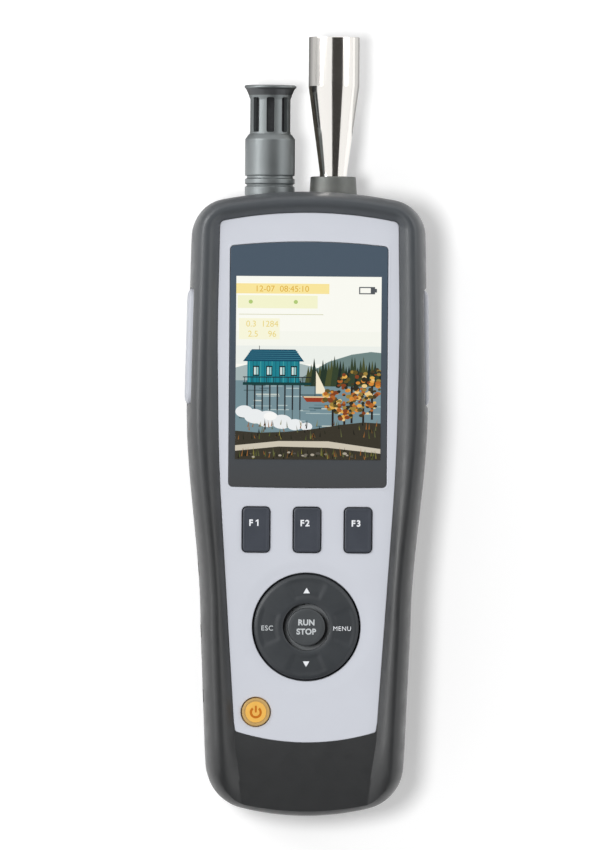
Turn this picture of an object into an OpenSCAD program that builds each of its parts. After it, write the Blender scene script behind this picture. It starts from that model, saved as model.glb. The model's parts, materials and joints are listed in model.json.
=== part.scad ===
// Hand-held airborne particle counter, lying on its back.
// +Z is up, out of the front panel. +Y runs from the foot to the probe. +X is to the right.
// While it is built, y = 0 is at the foot; place() then centres the part on its origin.

/* [Housing] */
// Length of the housing, from the foot to the head
body_len = 192; // [189:1:200]
// Length from the foot to the mouth of the probe
total_len = 240; // [236:1:252]
// Depth from the back rim to the crest of the rubber
body_depth = 57; // [56:0.5:61]
// Half width across the head
head_half_w = 37; // [36.6:0.1:38.5]
// Half width across the grip
grip_half_w = 32.2; // [31.6:0.1:33.5]
// Height above the foot where the grip begins to widen
waist_y = 58; // [52:1:62]
// Height above the foot where the head has its full width
shoulder_y = 125; // [120:1:130]
// Radius of the arch across the head end
head_arch_r = 140; // [110:5:200]
// Radius of the corners at the head end
head_corner_r = 11.5; // [10:0.5:14]
// Radius of the arch across the foot end
foot_arch_r = 82; // [70:1:110]
// Radius of the corners at the foot end
foot_corner_r = 14; // [12:0.5:16]
// Wall thickness of the hard shells
wall = 2.5; // [2:0.1:2.8]
// Height of the parting line, the probe and the sensor above the middle of the depth
parting_rise = 1.5; // [0.5:0.5:2.5]

/* [Rubber cover] */
// Thickness of the rubber over the sides
rubber_t = 3; // [2.6:0.1:3.3]
// Thickness of the rubber lips over the front and the back of the shells
lip_t = 2; // [1.6:0.1:2.3]
// Height of the rubber crest over the front panel
crest_h = 3; // [2:0.1:3.6]
// Depth of the back panel behind the back rim
rim_h = 1; // [0.6:0.1:1.4]
// Width of the rounded front edge along the sides
edge_w = 4.2; // [3.6:0.1:4.8]
// Width of the rounded front edge at the head and the foot
edge_end_w = 2.8; // [2.2:0.1:3.4]
// Height of the rounded front edge
edge_h = 11; // [8:0.5:13]
// Width of the rounded back edge
back_edge_w = 5.5; // [4:0.5:6]
// Height of the rounded back edge
back_edge_h = 14; // [8:0.5:16]
// Length of the chin below the front panel
chin_len = 22.4; // [20:0.2:24]
// Fall of the chin from the panel to the foot
chin_drop = 5; // [3:0.5:6]
// Length of the windows for the side inserts
window_len = 35.5; // [30:0.5:38]
// Height of the windows for the side inserts
window_h = 20; // [16:0.5:22]
// Distance of the windows' middle from the head end
window_top = 47.8; // [46:0.2:50]
// Width of the relief around the side inserts
relief_w = 1; // [0.6:0.1:2]
// Depth of the relief around the side inserts
relief_t = 1; // [0.6:0.1:1.6]
// How far the side inserts stand out of the rubber's outline
insert_proud = 0.8; // [0.3:0.1:1]
// Depth of the grip grooves
groove_t = 0.7; // [0.4:0.1:1]
// Radius of the grip grooves
groove_r = 4; // [3:0.5:5]

/* [Front panel] */
// Half width of the panel at the head
panel_half_w = 27.4; // [27:0.1:27.8]
// Distance from the panel's upper edge to the head end
panel_top = 6.6; // [6:0.1:7.2]
// Radius of the arch of the panel's upper edge
panel_arch_r = 136; // [120:2:200]
// Radius of the panel's upper corners
panel_corner_r = 1.8; // [1:0.1:3]
// Width lost for each unit of length where the panel narrows
panel_taper = 0.066; // [0.06:0.001:0.068]

/* [Display] */
// Half width of the lens
lens_half_w = 24.2; // [24:0.1:24.8]
// Length of the lens
lens_len = 75.5; // [75:0.5:77]
// Thickness of the lens
lens_t = 1.7; // [1.2:0.1:2]
// Height of the lens's middle above the foot
lens_y = 138.65; // [138:0.05:139.4]
// Radius of the lens's corners
lens_corner_r = 1.2; // [0.8:0.1:2]
// Width of the lit picture
screen_w = 44.6; // [40:0.1:44.8]
// Length of the lit picture
screen_len = 56.2; // [50:0.1:57]
// How far the picture's middle lies below the lens's middle
screen_drop = 0.95; // [0.5:0.05:1.4]

/* [Keys] */
// Height of the function keys' middle above the foot
f_key_y = 88; // [87.5:0.1:88.5]
// Distance between neighbouring function keys
f_key_pitch = 15.65; // [15:0.05:16.2]
// Width of a function key
f_key_w = 8.2; // [7.8:0.1:8.6]
// Length of a function key
f_key_len = 13.6; // [13:0.1:14]
// Height of the navigation ring's middle above the foot
nav_y = 58.2; // [57.8:0.1:59]
// Radius of the navigation ring
nav_r = 16.1; // [15.6:0.1:16.6]
// Radius of the hole in the navigation ring
nav_hole_r = 7.2; // [7:0.1:7.6]
// Radius of the run and stop key
run_r = 5.8; // [5.2:0.1:6]
// Height of the power key's middle above the foot
power_y = 32; // [31.8:0.1:33]
// Distance of the power key from the middle line
power_x = 15.3; // [14.6:0.1:15.6]
// Radius of the power key
power_r = 4.3; // [4:0.1:4.6]
// Height of the keys over the panel
key_rise = 1; // [0.6:0.1:1.4]
// Travel of the keys
key_travel = 0.8; // [0.5:0.1:1]
// Running gap around the keys
key_gap = 0.3; // [0.25:0.05:0.35]

/* [Temperature and humidity sensor] */
// Distance of the sensor from the middle line
sensor_x = 12; // [11.6:0.1:12.4]
// Height of the guard's mouth over the head end
guard_top = 33; // [32:0.5:36]
// Radius of the guard's flared mouth
guard_mouth_r = 8; // [7.6:0.1:8.4]
// Radius of the guard's cage
cage_r = 6.3; // [6:0.1:6.6]
// Radius of the guard's sleeve
sleeve_r = 7.7; // [7.4:0.1:8]
// Number of slots in the guard's cage
slots = 8; // [6:1:10]

/* [Inlet] */
// Distance of the inlet from the middle line
inlet_x = 7.6; // [7.4:0.1:8]
// Outer radius of the probe's mouth
probe_r = 7.85; // [7.4:0.05:8.2]
// Wall thickness of the probe
probe_wall = 0.8; // [0.6:0.1:1]
// Length of the probe's straight mouth
probe_mouth_len = 15.2; // [12:0.2:18]
// Outer radius at the narrow end of the probe
probe_foot_r = 4.2; // [3.8:0.1:4.6]
// Radius at the collar's upper edge
collar_r = 7; // [6.6:0.1:7.2]
// Outer radius of the sampling tube inside
tube_r = 3; // [2.6:0.1:3.2]

/* [Inside] */
// Thickness of the circuit boards
board_t = 1.6; // [1.2:0.1:1.6]
// Depth of the main board's face below the front panel
board_depth = 9.4; // [9.2:0.1:9.8]
// Length of the battery cells
cell_len = 66; // [64:0.5:67]
// Radius of the battery cells
cell_r = 9.2; // [9:0.1:9.3]
// Radius of the tripod thread
tripod_r = 3.175; // [2.8:0.005:3.3]

/* [Hidden] */
$fn = 48;

// Fineness of the housing's outline: steps on a corner, half an arch, a side and an edge
corner_steps = 6;
arch_steps = 5;
side_steps = 18;
edge_steps = 6;
back_steps = 5;
over = 1;               // how far a cutter passes through a face
fit = 0.1;              // gap between fixed pieces that are pushed together
foot_taper = 0.042;     // width lost for each unit of length below the waist
head_taper = 0.02;      // width lost for each unit of length above the shoulder
crest_flat = 0.5;       // width of the flat on the crest
panel_seam = 0.15;      // width of the flat strip of rubber round the panel
crest_fade = 18;        // length over which the crest sinks into the chin
panel_bend_top = 125;   // height where the panel begins to narrow
panel_bend_len = 30;    // length over which it reaches its full taper

front_z = body_depth - crest_h;         // face of the front panel
roof_z = front_z - lip_t - wall;        // inside of the front shell
floor_z = rim_h + lip_t + wall;         // inside of the back shell
parting_z = body_depth / 2 + parting_rise;
round_z = body_depth - edge_h;          // where the rounded front edge begins
shell_in = rubber_t + wall;             // from the rubber's outside to the inside of the shells
back_panel_in = rubber_t + 4;           // from the rubber's outside to the back panel
lens_top = lens_y + lens_len / 2;
lens_bottom = lens_y - lens_len / 2;
screen_y = lens_y - screen_drop;
board_z = front_z - board_depth;        // face of the main board
board_in = shell_in + 1;
board_low = 24;                         // from the foot to the main board
board_head = 19;                        // and from the main board to the head end
board_high = body_len - board_head;
window_y = body_len - window_top;
stem_seat = body_len - 1.5;             // seat of the sensor's base and the collar
stem_h = 5;                             // and their height above the head end
grooves = [36, 56, 75];                 // heights of the grip grooves

function ramp(t) = let (c = min(1, max(0, t))) c * c * (3 - 2 * c);
function mix(a, b, t) = a + (b - a) * t;

// How far the inside of the arched head lies below its top at x
function arch_fall(x) = let (r = head_arch_r - shell_in) r - sqrt(r * r - x * x);

// Half width of the housing at height y
function body_half_w(y) =
    mix(grip_half_w, head_half_w, ramp((y - waist_y) / (shoulder_y - waist_y)))
    - foot_taper * max(0, waist_y - y) - head_taper * max(0, y - shoulder_y);

// Half width of the front panel at height y: straight, bending over, then tapering
function panel_w(y) =
    let (s = max(0, panel_bend_top - y))
    panel_half_w - (s < panel_bend_len ? panel_taper * s * s / 2 / panel_bend_len
                                       : panel_taper * (s - panel_bend_len / 2));

// Height of the chin and of the crest over the back rim
function chin_z(y) = front_z - chin_drop * pow(max(0, 1 - y / chin_len), 1.6);
function crest_z(y) = chin_z(max(0, y)) + crest_h * ramp((y + 3 * over) / crest_fade);

// Half of an arched end with rounded corners, from the side to the middle,
// as [x, distance below the top of the arch]
function arched_end(w, arch_r, corner_r) =
    let (cx = w - corner_r, cy = sqrt(pow(arch_r - corner_r, 2) - cx * cx), turn = atan2(cy, cx))
    concat(
        [for (i = [0:corner_steps]) let (a = turn * i / corner_steps)
            [cx + corner_r * cos(a), arch_r - cy - corner_r * sin(a)]],
        [for (i = [1:arch_steps]) let (a = mix(turn, 90, i / arch_steps))
            [arch_r * cos(a), arch_r - arch_r * sin(a)]]);

// Right half of an outline from the foot to the head; foot and head are [arch radius, corner radius]
function half_outline(half_w, low, high, foot, head) =
    let (f = arched_end(half_w(low + foot[1]), foot[0], foot[1]),
         h = arched_end(half_w(high - head[1]), head[0], head[1]),
         y0 = low + f[0][1], y1 = high - h[0][1])
    concat(
        [for (i = [len(f) - 1:-1:0]) [f[i][0], low + f[i][1]]],
        [for (i = [1:side_steps - 1]) let (y = mix(y0, y1, i / side_steps)) [half_w(y), y]],
        [for (p = h) [p[0], high - p[1]]]);

// The housing's outline, moved in by side_in along the sides and by end_in at the ends
function body_half(side_in, end_in) =
    half_outline(function (y) body_half_w(y) - side_in, end_in, body_len - end_in,
        [foot_arch_r - end_in, max(1, foot_corner_r - side_in)],
        [head_arch_r - end_in, max(1, head_corner_r - side_in)]);

// Half of the front panel's outline
panel_half = half_outline(function (y) panel_w(y), chin_len, body_len - panel_top,
    [foot_arch_r, 1], [panel_arch_r, panel_corner_r]);

// Half of a loop of the well that is sunk between the crests and runs out over the foot
function well_half(half_w, high, head) =
    let (h = arched_end(half_w(high - head[1]), head[0], head[1]), y1 = high - h[0][1])
    concat(
        [[0, -2 * over], [half_w(0), -over]],
        [for (i = [0:side_steps + corner_steps]) let (y = mix(0, y1, i / (side_steps + corner_steps + 1)))
            [half_w(y), y]],
        [for (p = h) [p[0], high - p[1]]]);

function whole(half) = concat(half, [for (i = [len(half) - 2:-1:1]) [-half[i][0], half[i][1]]]);
function at_z(half, z) = [for (p = half) [p[0], p[1], z]];

// Solid through a stack of half outlines with equal numbers of [x, y, z] points, lowest first
module stack(halves) {
    m = len(halves[0]);
    n = 2 * m - 2;
    last = (len(halves) - 1) * n;
    points = [for (half = halves)
        each concat(half, [for (i = [m - 2:-1:1]) [-half[i][0], half[i][1], half[i][2]]])];
    cap = concat(
        [for (i = [0:m - 3]) [i, i + 1, n - i - 1]],
        [for (i = [1:m - 2]) [i, n - i - 1, n - i]]);
    sides = [for (k = [0:len(halves) - 2]) for (i = [0:n - 1])
        let (a = k * n + i, b = k * n + (i + 1) % n) each [[a, a + n, b], [b, a + n, b + n]]];
    polyhedron(points, concat(cap, sides, [for (t = cap) [t[2] + last, t[1] + last, t[0] + last]]));
}

module slab(half, low, high) {
    translate([0, 0, low]) linear_extrude(high - low) polygon(whole(half));
}

module place() {
    translate([0, -total_len / 2, 0]) children();
}

// Rounded rectangle in plan, centred
module pad(w, l, r) {
    square([w - 2 * r, l], center = true);
    square([w, l - 2 * r], center = true);
    for (x = [-1, 1], y = [-1, 1]) translate([x * (w / 2 - r), y * (l / 2 - r)]) circle(r);
}

module plate(w, l, r, low, high) {
    translate([0, 0, low]) linear_extrude(high - low) pad(w, l, r);
}

module rod(r, low, high) {
    translate([0, 0, low]) cylinder(r = r, h = high - low);
}

// A solid of revolution along +Y, from points [radius, height above the foot]
module turned(x, points) {
    translate([x, 0, parting_z]) rotate([-90, 0, 0]) rotate_extrude() polygon(points);
}

module pipe(x, r, low, high) {
    translate([x, low, parting_z]) rotate([-90, 0, 0]) cylinder(r = r, h = high - low);
}

// ---- Where the screws, keys and bosses are ----

case_screw_head = 14.5;                 // from the head end to the upper case screws
case_screw_foot = 15;                   // from the foot to the lower ones
case_screw_in = 5.6;                    // from the inside of the shells to the upper ones
case_screw_foot_in = 6.3;               // and to the lower ones
case_screw_x = body_half_w(body_len - case_screw_head) - shell_in - case_screw_in;
case_screw_foot_x = body_half_w(case_screw_foot) - shell_in - case_screw_foot_in;
case_screw_spots = [for (x = [-1, 1]) each [
    [x * case_screw_x, body_len - case_screw_head], [x * case_screw_foot_x, case_screw_foot]]];
case_boss_r = 3.4;
case_screw_r = 1.4;
case_head_r = 2.8;
case_head_h = 2;
case_seat_z = floor_z + 3;              // under the heads of the case screws
case_screw_len = 30;

board_boss_r = 2.2;
board_screw_r = 1;
board_screw_len = 6;
board_head_r = 1.9;
board_head_h = 1.3;
board_edge = 3.2;                       // from the board's edge to its screws
board_foot_screw = 14;                  // from the board's foot to its lowest screws
glass_w = screen_w + 1.2;
glass_len = screen_len + 3;
lcd_side = 1.2;                         // how far the display's frame reaches past its glass:
lcd_head = 0.8;                         // at the sides, at the head
lcd_foot = 5.6;                         // and at the foot, where its cable leaves
lcd_high = screen_y + glass_len / 2 + lcd_head;
lcd_low = screen_y - glass_len / 2 - lcd_foot;
board_boss_gap = 0.2;                   // between the display's frame and the bosses of the board
board_spots = [for (x = [-1, 1]) each [
    [x * (body_half_w(board_high) - board_in - board_edge), lcd_high + board_boss_r + board_boss_gap],
    [x * (body_half_w(lcd_low) - board_in - board_edge), lcd_low - board_boss_r - board_boss_gap],
    [x * (body_half_w(board_low) - board_in - board_edge), board_low + board_foot_screw]]];

flange_t = 1;                           // thickness of the keys' flanges
flange_w = 1;                           // how far the flanges reach under the panel
flange_z = roof_z - key_gap - flange_t; // underside of the keys' flanges
key_hole = key_gap;                     // gap between a key and its hole
f_key_r = 1.2;
mat_t = 1.2;
mat_z = board_z + mat_t;                // top of the mat's sheet
plunger_gap = key_travel + 0.3;         // free space under a key
nav_tilt_gap = 0.55;                    // gap between the ring and its hole
nav_flange_gap = 1.1;
nav_rise = key_rise + 0.4;
pivot_z = mat_z + 0.5;                  // underside of the pivot
pivot_t = 0.8;
pivot_out_r = 10;
pivot_in_r = nav_hole_r + 0.8;
run_stem_r = 4;
run_guide_gap = 0.3;

// ---- Housing ----

// The room that the hard shells fill, which the rubber is moulded on
module shell_blank() {
    difference() {
        slab(body_half(rubber_t, rubber_t), rim_h + lip_t, front_z - lip_t);
        chin_cut(lip_t);
    }
    slab(panel_half, front_z - lip_t - fit, front_z);
    slab(body_half(back_panel_in, back_panel_in), rim_h, rim_h + lip_t + fit);
}

// Everything above the chin's surface, moved down by t
module chin_cut(t) {
    steps = 8;
    profile = [for (i = [0:steps]) let (y = mix(-over, chin_len, i / steps)) [y, chin_z(max(0, y)) - t]];
    translate([-head_half_w, 0, 0]) rotate([90, 0, 90]) linear_extrude(2 * head_half_w)
        polygon(concat(profile, [[chin_len, body_depth], [-over, body_depth]]));
}

// The hollow inside the shells
module cavity() {
    difference() {
        slab(body_half(shell_in, shell_in), floor_z, roof_z);
        chin_cut(lip_t + wall);
    }
}

module rubber_blank() {
    back = [for (i = [0:back_steps]) let (a = 90 * i / back_steps, d = back_edge_w * (1 - sin(a)))
        at_z(body_half(d, d), back_edge_h * (1 - cos(a)))];
    front = [for (i = [0:edge_steps]) let (a = 90 * i / edge_steps, d = 1 - cos(a))
        [for (p = body_half(edge_w * d, edge_end_w * d)) [p[0], p[1], mix(round_z, crest_z(p[1]), sin(a))]]];
    stack(concat(back, front));
}

// The well between the crests: its sides rise from the panel in a rounded slope
module well() {
    head_in = edge_end_w + crest_flat;
    side_in = edge_w + crest_flat;
    steps = 3;
    loops = [for (i = [0:steps]) let (t = i / steps)
        [for (p = well_half(function (y) mix(panel_w(y) + panel_seam, body_half_w(y) - side_in, t),
                mix(body_len - panel_top + panel_seam, body_len - head_in, t),
                [mix(panel_arch_r, head_arch_r - head_in, t), mix(panel_corner_r, head_corner_r - edge_w, t)]))
            [p[0], p[1], mix(chin_z(max(0, p[1])), crest_z(p[1]), sin(90 * t))]]];
    stack(concat(loops, [[for (p = loops[steps]) [p[0], p[1], p[2] + over]]]));
}

// A rounded bar through the housing's side at the insert's place
module side_bar(side, grow, low, high) {
    translate([0, window_y, parting_z]) rotate([90, 0, 90])
        translate([0, 0, side > 0 ? low : -high]) linear_extrude(high - low)
            pad(window_len + 2 * grow, window_h + 2 * grow, 3 + grow);
}

// Step in the rubber around an insert, open to the front
module side_relief(side) {
    difference() {
        union() {
            side_bar(side, relief_w, head_half_w - shell_in, head_half_w + over);
            translate([side * head_half_w, window_y, parting_z + body_depth / 2])
                cube([2 * shell_in, window_len + 2 * relief_w, body_depth], center = true);
        }
        slab(body_half(relief_t, relief_t), -over, 2 * body_depth);
    }
}

// Holes for the sensor's base and the collar, with a flat seat sunk into the arched head
module stem_holes(gap) {
    pipe(-sensor_x, base_neck_r + gap, body_len - shell_in - 2 * over, body_len + over);
    pipe(-sensor_x, sleeve_r + fit, stem_seat, body_len + over);
    pipe(inlet_x, collar_neck_r + gap, body_len - shell_in - 2 * over, body_len + over);
    pipe(inlet_x, collar_r + collar_flare + fit, stem_seat, body_len + over);
}

module rubber_cover() {
    color([0.30, 0.30, 0.30]) place() difference() {
        rubber_blank();
        shell_blank();
        well();
        slab(body_half(back_panel_in, back_panel_in), -over, rim_h + fit);
        for (side = [-1, 1]) {
            side_bar(side, 0, head_half_w - shell_in, head_half_w + over);
            side_relief(side);
            for (y = grooves) translate([side * (body_half_w(y) + groove_r - groove_t), y])
                rod(groove_r, back_edge_h, round_z - 1);
        }
        stem_holes(0);
        port_holes(0.4);
    }
}

module key_holes() {
    for (i = [-1:1]) translate([i * f_key_pitch, f_key_y])
        plate(f_key_w + 2 * key_hole, f_key_len + 2 * key_hole, f_key_r + key_hole, roof_z - over, front_z + over);
    translate([0, nav_y]) rod(nav_r + nav_tilt_gap, roof_z - over, front_z + over);
    translate([-power_x, power_y]) rod(power_r + key_hole, roof_z - over, front_z + over);
}

module lens_blank(gap, low, high) {
    arch = half_outline(function (y) lens_half_w + gap, lens_bottom - gap, lens_top + gap,
        [lens_foot_arch_r, lens_corner_r], [lens_arch_r, lens_corner_r]);
    slab(arch, low, high);
}
lens_arch_r = 210;                      // arches across the lens's head and foot
lens_foot_arch_r = 1000;
lens_sink = 0.1;                        // depth of the lens's face below the panel
lens_z = front_z - lens_sink - lens_t;  // underside of the lens

module front_housing() {
    color([0.83, 0.84, 0.88]) place() difference() {
        union() {
            difference() {
                shell_blank();
                slab(body_half(0, 0), 0, parting_z);
                cavity();
            }
            for (p = board_spots) translate(p) rod(board_boss_r, board_z, roof_z + fit);
            for (p = case_screw_spots) translate(p) intersection() {
                rod(case_boss_r, parting_z, roof_z + fit);
                translate([-p[0], -p[1]]) shell_blank();
            }
        }
        for (p = board_spots) translate(p) rod(board_screw_r, board_z - over, board_z + board_screw_len);
        for (p = case_screw_spots) translate(p)
            rod(case_screw_r, parting_z - over, case_seat_z + case_screw_len + 0.5);
        lens_blank(fit, lens_z, front_z + over);
        translate([0, screen_y]) plate(glass_w + 0.6, glass_len + 0.6, 0.8, roof_z - over, front_z);
        key_holes();
        stem_holes(fit);
    }
}

vent_count = 5;
vent_w = 1.8;
vent_len = 18;
vent_pitch = 4;
vent_head = 52;                         // from the head end to the lowest vent
vent_y = body_len - vent_head;
camera_head = 26;                       // from the head end to the camera
camera_y = body_len - camera_head;
camera_r = 6;
tripod_y = 117;
tripod_boss_r = 8.5;
insert_r = 5.5;
insert_len = 10;
insert_z = rim_h + 0.4;                 // outer face of the tripod insert
door_w = 2 * (grip_half_w - back_panel_in - 4);
door_over = 4;                          // how far the battery door reaches past the cells
door_len = cell_len + 2 * door_over;
cell_low = 28;                          // from the foot to the cells
door_y = cell_low + cell_len / 2;
door_t = 2;
door_r = 3;
door_gap = 0.25;
ledge_w = 2;
tab_w = 12;                             // the lug of the battery cover, with its screw
tab_len = 6;
tab_r = 2;
cover_screw_y = door_y + door_len / 2 + 1.5;
cell_z = floor_z + 0.3 + cell_r;
chamber_w = 34;
chamber_len = 36;
chamber_gap = 2;                        // free space between the chamber and the main board
chamber_h = 2 * (board_z - board_t - chamber_gap - parting_z);
chamber_head = 46;                      // from the head end to the chamber's middle
chamber_y = body_len - chamber_head;
chamber_post_r = 3;
chamber_post_in = 4;                    // from the chamber's sides to its posts
tube_seat = 3;                          // how deep the tubes sit in the chamber
duct_r = 2;                             // the way of the air through the chamber
beam_r = 1.5;                           // the way of the laser's beam
laser_r = 4.5;
laser_len = 20;
laser_seat = 6;                         // how deep the laser sits in the chamber
laser_ring_r = 6;
laser_ring_t = 3;
detector_r = 4;
detector_seat = 3;                      // how deep the detector sits in the chamber
detector_gap = 2;                       // between its board and the chamber
detector_w = 14;
corner_r = 3;                           // corners of the chamber
pump_y = 112;
pump_head_w = 9;
pump_head_len = 20;
pump_motor_r = chamber_h / 2 - 1;
pump_motor_len = 16;
pump_rib_t = 2.5;
pump_rib_in = 2;                        // from the pump's head to the first rib, and from the
                                        // second rib to the motor's end
pump_ribs = [inlet_x + pump_head_w / 2 + pump_rib_in,
    inlet_x + pump_head_w / 2 + pump_motor_len - pump_rib_in - pump_rib_t];
filter_x = -16;
filter_r = 7;
filter_len = 16;
saddle_t = 3;                           // depth of the filter's seat in its saddle
port_z = 20;                            // face of the port board
port_board_y = 15.5;
port_board_w = 28;
port_board_len = 16;
port_rib_t = 2.5;                       // ribs under the port board
port_rib_len = 10;
usb_x = -6.5;
jack_x = 6.5;

module chamber_posts(r, low, high) {
    for (x = [-1, 1], y = [-1, 1])
        translate([inlet_x + x * (chamber_w / 2 - chamber_post_in), chamber_y + y * (chamber_len / 2 - chamber_post_in)])
            rod(r, low, high);
}

module rear_housing() {
    color([0.78, 0.79, 0.83]) place() difference() {
        union() {
            difference() {
                shell_blank();
                slab(body_half(0, 0), parting_z, body_depth);
                cavity();
            }
            for (p = case_screw_spots) translate(p) rod(case_boss_r, floor_z - fit, parting_z);
            translate([0, tripod_y]) rod(tripod_boss_r, rim_h, insert_z + insert_len + 2);
            chamber_posts(chamber_post_r, floor_z - fit, parting_z - chamber_h / 2);
            for (x = [-1, 1]) translate([x * (port_board_w / 2 - port_rib_t) - port_rib_t / 2,
                port_board_y - port_rib_len / 2, floor_z - fit])
                cube([port_rib_t, port_rib_len, port_z - board_t - floor_z + fit]);
            for (x = pump_ribs) translate([x, pump_y - pump_motor_r, floor_z - fit])
                cube([pump_rib_t, 2 * pump_motor_r, parting_z - pump_motor_r + saddle_t - floor_z]);
            translate([filter_x - filter_len / 4, pump_y - filter_r, floor_z - fit])
                cube([filter_len / 2, 2 * filter_r, parting_z - filter_r + saddle_t - floor_z]);
        }
        for (p = case_screw_spots) translate(p) {
            rod(case_screw_r + 0.2, 0, parting_z + over);
            rod(case_head_r + 0.4, 0, case_seat_z);
        }
        translate([0, tripod_y]) rod(insert_r, 0, insert_z + insert_len);
        translate([filter_x, pump_y, parting_z]) rotate([0, 90, 0]) cylinder(r = filter_r, h = filter_len, center = true);
        translate([inlet_x, pump_y, parting_z]) rotate([0, 90, 0]) cylinder(r = pump_motor_r, h = 3 * pump_motor_len);
        translate([0, door_y]) {
            plate(door_w + 2 * door_gap, door_len + 2 * door_gap, door_r, 0, rim_h + door_t);
            plate(door_w - 2 * ledge_w, door_len - 2 * ledge_w, door_r - 1, 0, floor_z + over);
        }
        translate([0, cover_screw_y]) {
            plate(tab_w + 2 * door_gap, 2 * tab_len, tab_r, 0, rim_h + door_t);
            rod(cover_screw_r, 0, floor_z + over);
        }
        for (i = [0:vent_count - 1]) translate([-vent_x, vent_y + vent_pitch * i])
            plate(vent_len, vent_w, vent_w / 2 - 0.01, 0, floor_z + over);
        translate([-vent_x, camera_y]) {
            rod(camera_r + fit, 0, rim_h + camera_t + 0.3);
            rod(camera_r - 1, 0, floor_z + over);
        }
        stem_holes(fit);
        port_holes(0);
    }
}
vent_x = 17;
camera_t = 1.2;
cover_screw_r = 1.25;

module side_insert(side) {
    color([0.80, 0.81, 0.85]) place() difference() {
        intersection() {
            side_bar(side, -fit, head_half_w - shell_in, head_half_w + over);
            slab(body_half(-insert_proud, -insert_proud), 0, body_depth);
        }
        shell_blank();
    }
}

module side_insert_left() { side_insert(-1); }
module side_insert_right() { side_insert(1); }

// ---- Display and boards ----

module display_lens() {
    color([0.25, 0.30, 0.36]) place() lens_blank(0, lens_z, front_z - lens_sink);
}

module lcd_module() {
    color([0.85, 0.85, 0.70]) place() translate([0, screen_y]) {
        plate(glass_w, glass_len, 0.6, board_z, lens_z - 0.3);
        translate([0, (lcd_head - lcd_foot) / 2])
            plate(glass_w + 2 * lcd_side, lcd_high - lcd_low, 1, board_z, roof_z - 0.2);
    }
}

module main_board() {
    color([0.10, 0.35, 0.20]) place() difference() {
        slab(half_outline(function (y) body_half_w(y) - board_in, board_low, board_high,
            [foot_arch_r, 3], [head_arch_r, 3]), board_z - board_t, board_z);
        for (p = board_spots) translate(p) rod(board_screw_r + 0.3, board_z - board_t - over, board_z + over);
    }
}

module cross_slot(r, depth, top) {
    for (a = [0, 90]) rotate(a) translate([-r, -r / 5, top - depth]) cube([2 * r, 2 * r / 5, depth + over]);
}

// Screw that points to +Z, with the underside of its head at z
module screw(r, len, head_r, head_h, z) {
    difference() {
        union() {
            rod(r, z - fit, z + len);
            rod(head_r, z - head_h, z);
        }
        translate([0, 0, z - head_h]) mirror([0, 0, 1]) cross_slot(head_r * 0.6, head_h / 2, 0);
    }
}

module board_screws() {
    color("silver") place() for (p = board_spots) translate(p)
        screw(board_screw_r, board_t + board_screw_len - 1, board_head_r, board_head_h, board_z - board_t);
}

module buzzer() {
    color([0.15, 0.15, 0.15]) place() translate([buzzer_x, buzzer_y, board_z - board_t]) mirror([0, 0, 1])
        difference() {
            cylinder(r = buzzer_r, h = buzzer_h);
            translate([0, 0, buzzer_h - buzzer_hole_len]) cylinder(r = buzzer_hole_r, h = buzzer_hole_len + over);
        }
}
buzzer_x = 10;
buzzer_y = 66;
buzzer_r = 6;
buzzer_h = 4;
buzzer_hole_r = 1.2;
buzzer_hole_len = 1;

// ---- Keys ----

module keypad_mat() {
    guide_top = pivot_z + pivot_t;
    color([0.55, 0.57, 0.58]) place() difference() {
        union() {
            translate([0, (f_key_y + power_y) / 2])
                plate(2 * (nav_r + 1.6), f_key_y - power_y + f_key_len + 2, 3, board_z, mat_z);
            for (i = [-1:1]) translate([i * f_key_pitch, f_key_y])
                plate(f_key_w - 2, f_key_len - 4, 1, board_z, flange_z - plunger_gap);
            translate([-power_x, power_y]) rod(power_r - 1, board_z, flange_z - plunger_gap);
            translate([0, nav_y]) rod(run_stem_r + run_guide_gap + 1.2, board_z, guide_top);
        }
        translate([0, nav_y]) rod(run_stem_r + run_guide_gap, mat_z, guide_top + over);
    }
}

module f_key(i) {
    color([0.27, 0.28, 0.32]) place() translate([i * f_key_pitch, f_key_y]) {
        plate(f_key_w, f_key_len, f_key_r, flange_z, front_z + key_rise);
        plate(f_key_w + 2 * flange_w, f_key_len + 2 * flange_w, f_key_r + flange_w, flange_z, flange_z + flange_t);
    }
}

module key_f1() { f_key(-1); }
module key_f2() { f_key(0); }
module key_f3() { f_key(1); }

module nav_pivot() {
    color([0.50, 0.50, 0.50]) place() translate([0, nav_y]) difference() {
        rod(pivot_out_r, pivot_z, pivot_z + pivot_t);
        rod(pivot_in_r, pivot_z - over, pivot_z + pivot_t + over);
    }
}

// The ring's face falls a little from its hole to its rim
module nav_ring() {
    flange_top = roof_z - nav_flange_gap;
    low = pivot_z + pivot_t + 0.5;
    top = front_z + nav_rise;
    color([0.25, 0.26, 0.28]) place() translate([0, nav_y]) rotate_extrude($fn = 72) polygon([
        [nav_hole_r + 0.4, low], [nav_r + flange_w, low], [nav_r + flange_w, flange_top], [nav_r, flange_top],
        [nav_r, top - 1.1], [nav_r - 0.3, top - 0.7], [nav_r - 1.1, top - 0.4], [nav_r - 5, top - 0.1],
        [nav_hole_r + 0.8, top], [nav_hole_r + 0.2, top - 0.3], [nav_hole_r, top - 0.8],
        [nav_hole_r, front_z - 1], [nav_hole_r + 0.4, front_z - 1.4]]);
}

module run_stop_key() {
    top = front_z + nav_rise;
    low = mat_z + key_travel + 0.3;
    color([0.25, 0.26, 0.28]) place() translate([0, nav_y]) rotate_extrude() polygon([
        [0, low], [run_stem_r, low], [run_stem_r, front_z - 3], [run_r, front_z - 2],
        [run_r, top - 0.6], [run_r - 0.5, top - 0.1], [run_r - 1.2, top], [0, top]]);
}

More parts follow.
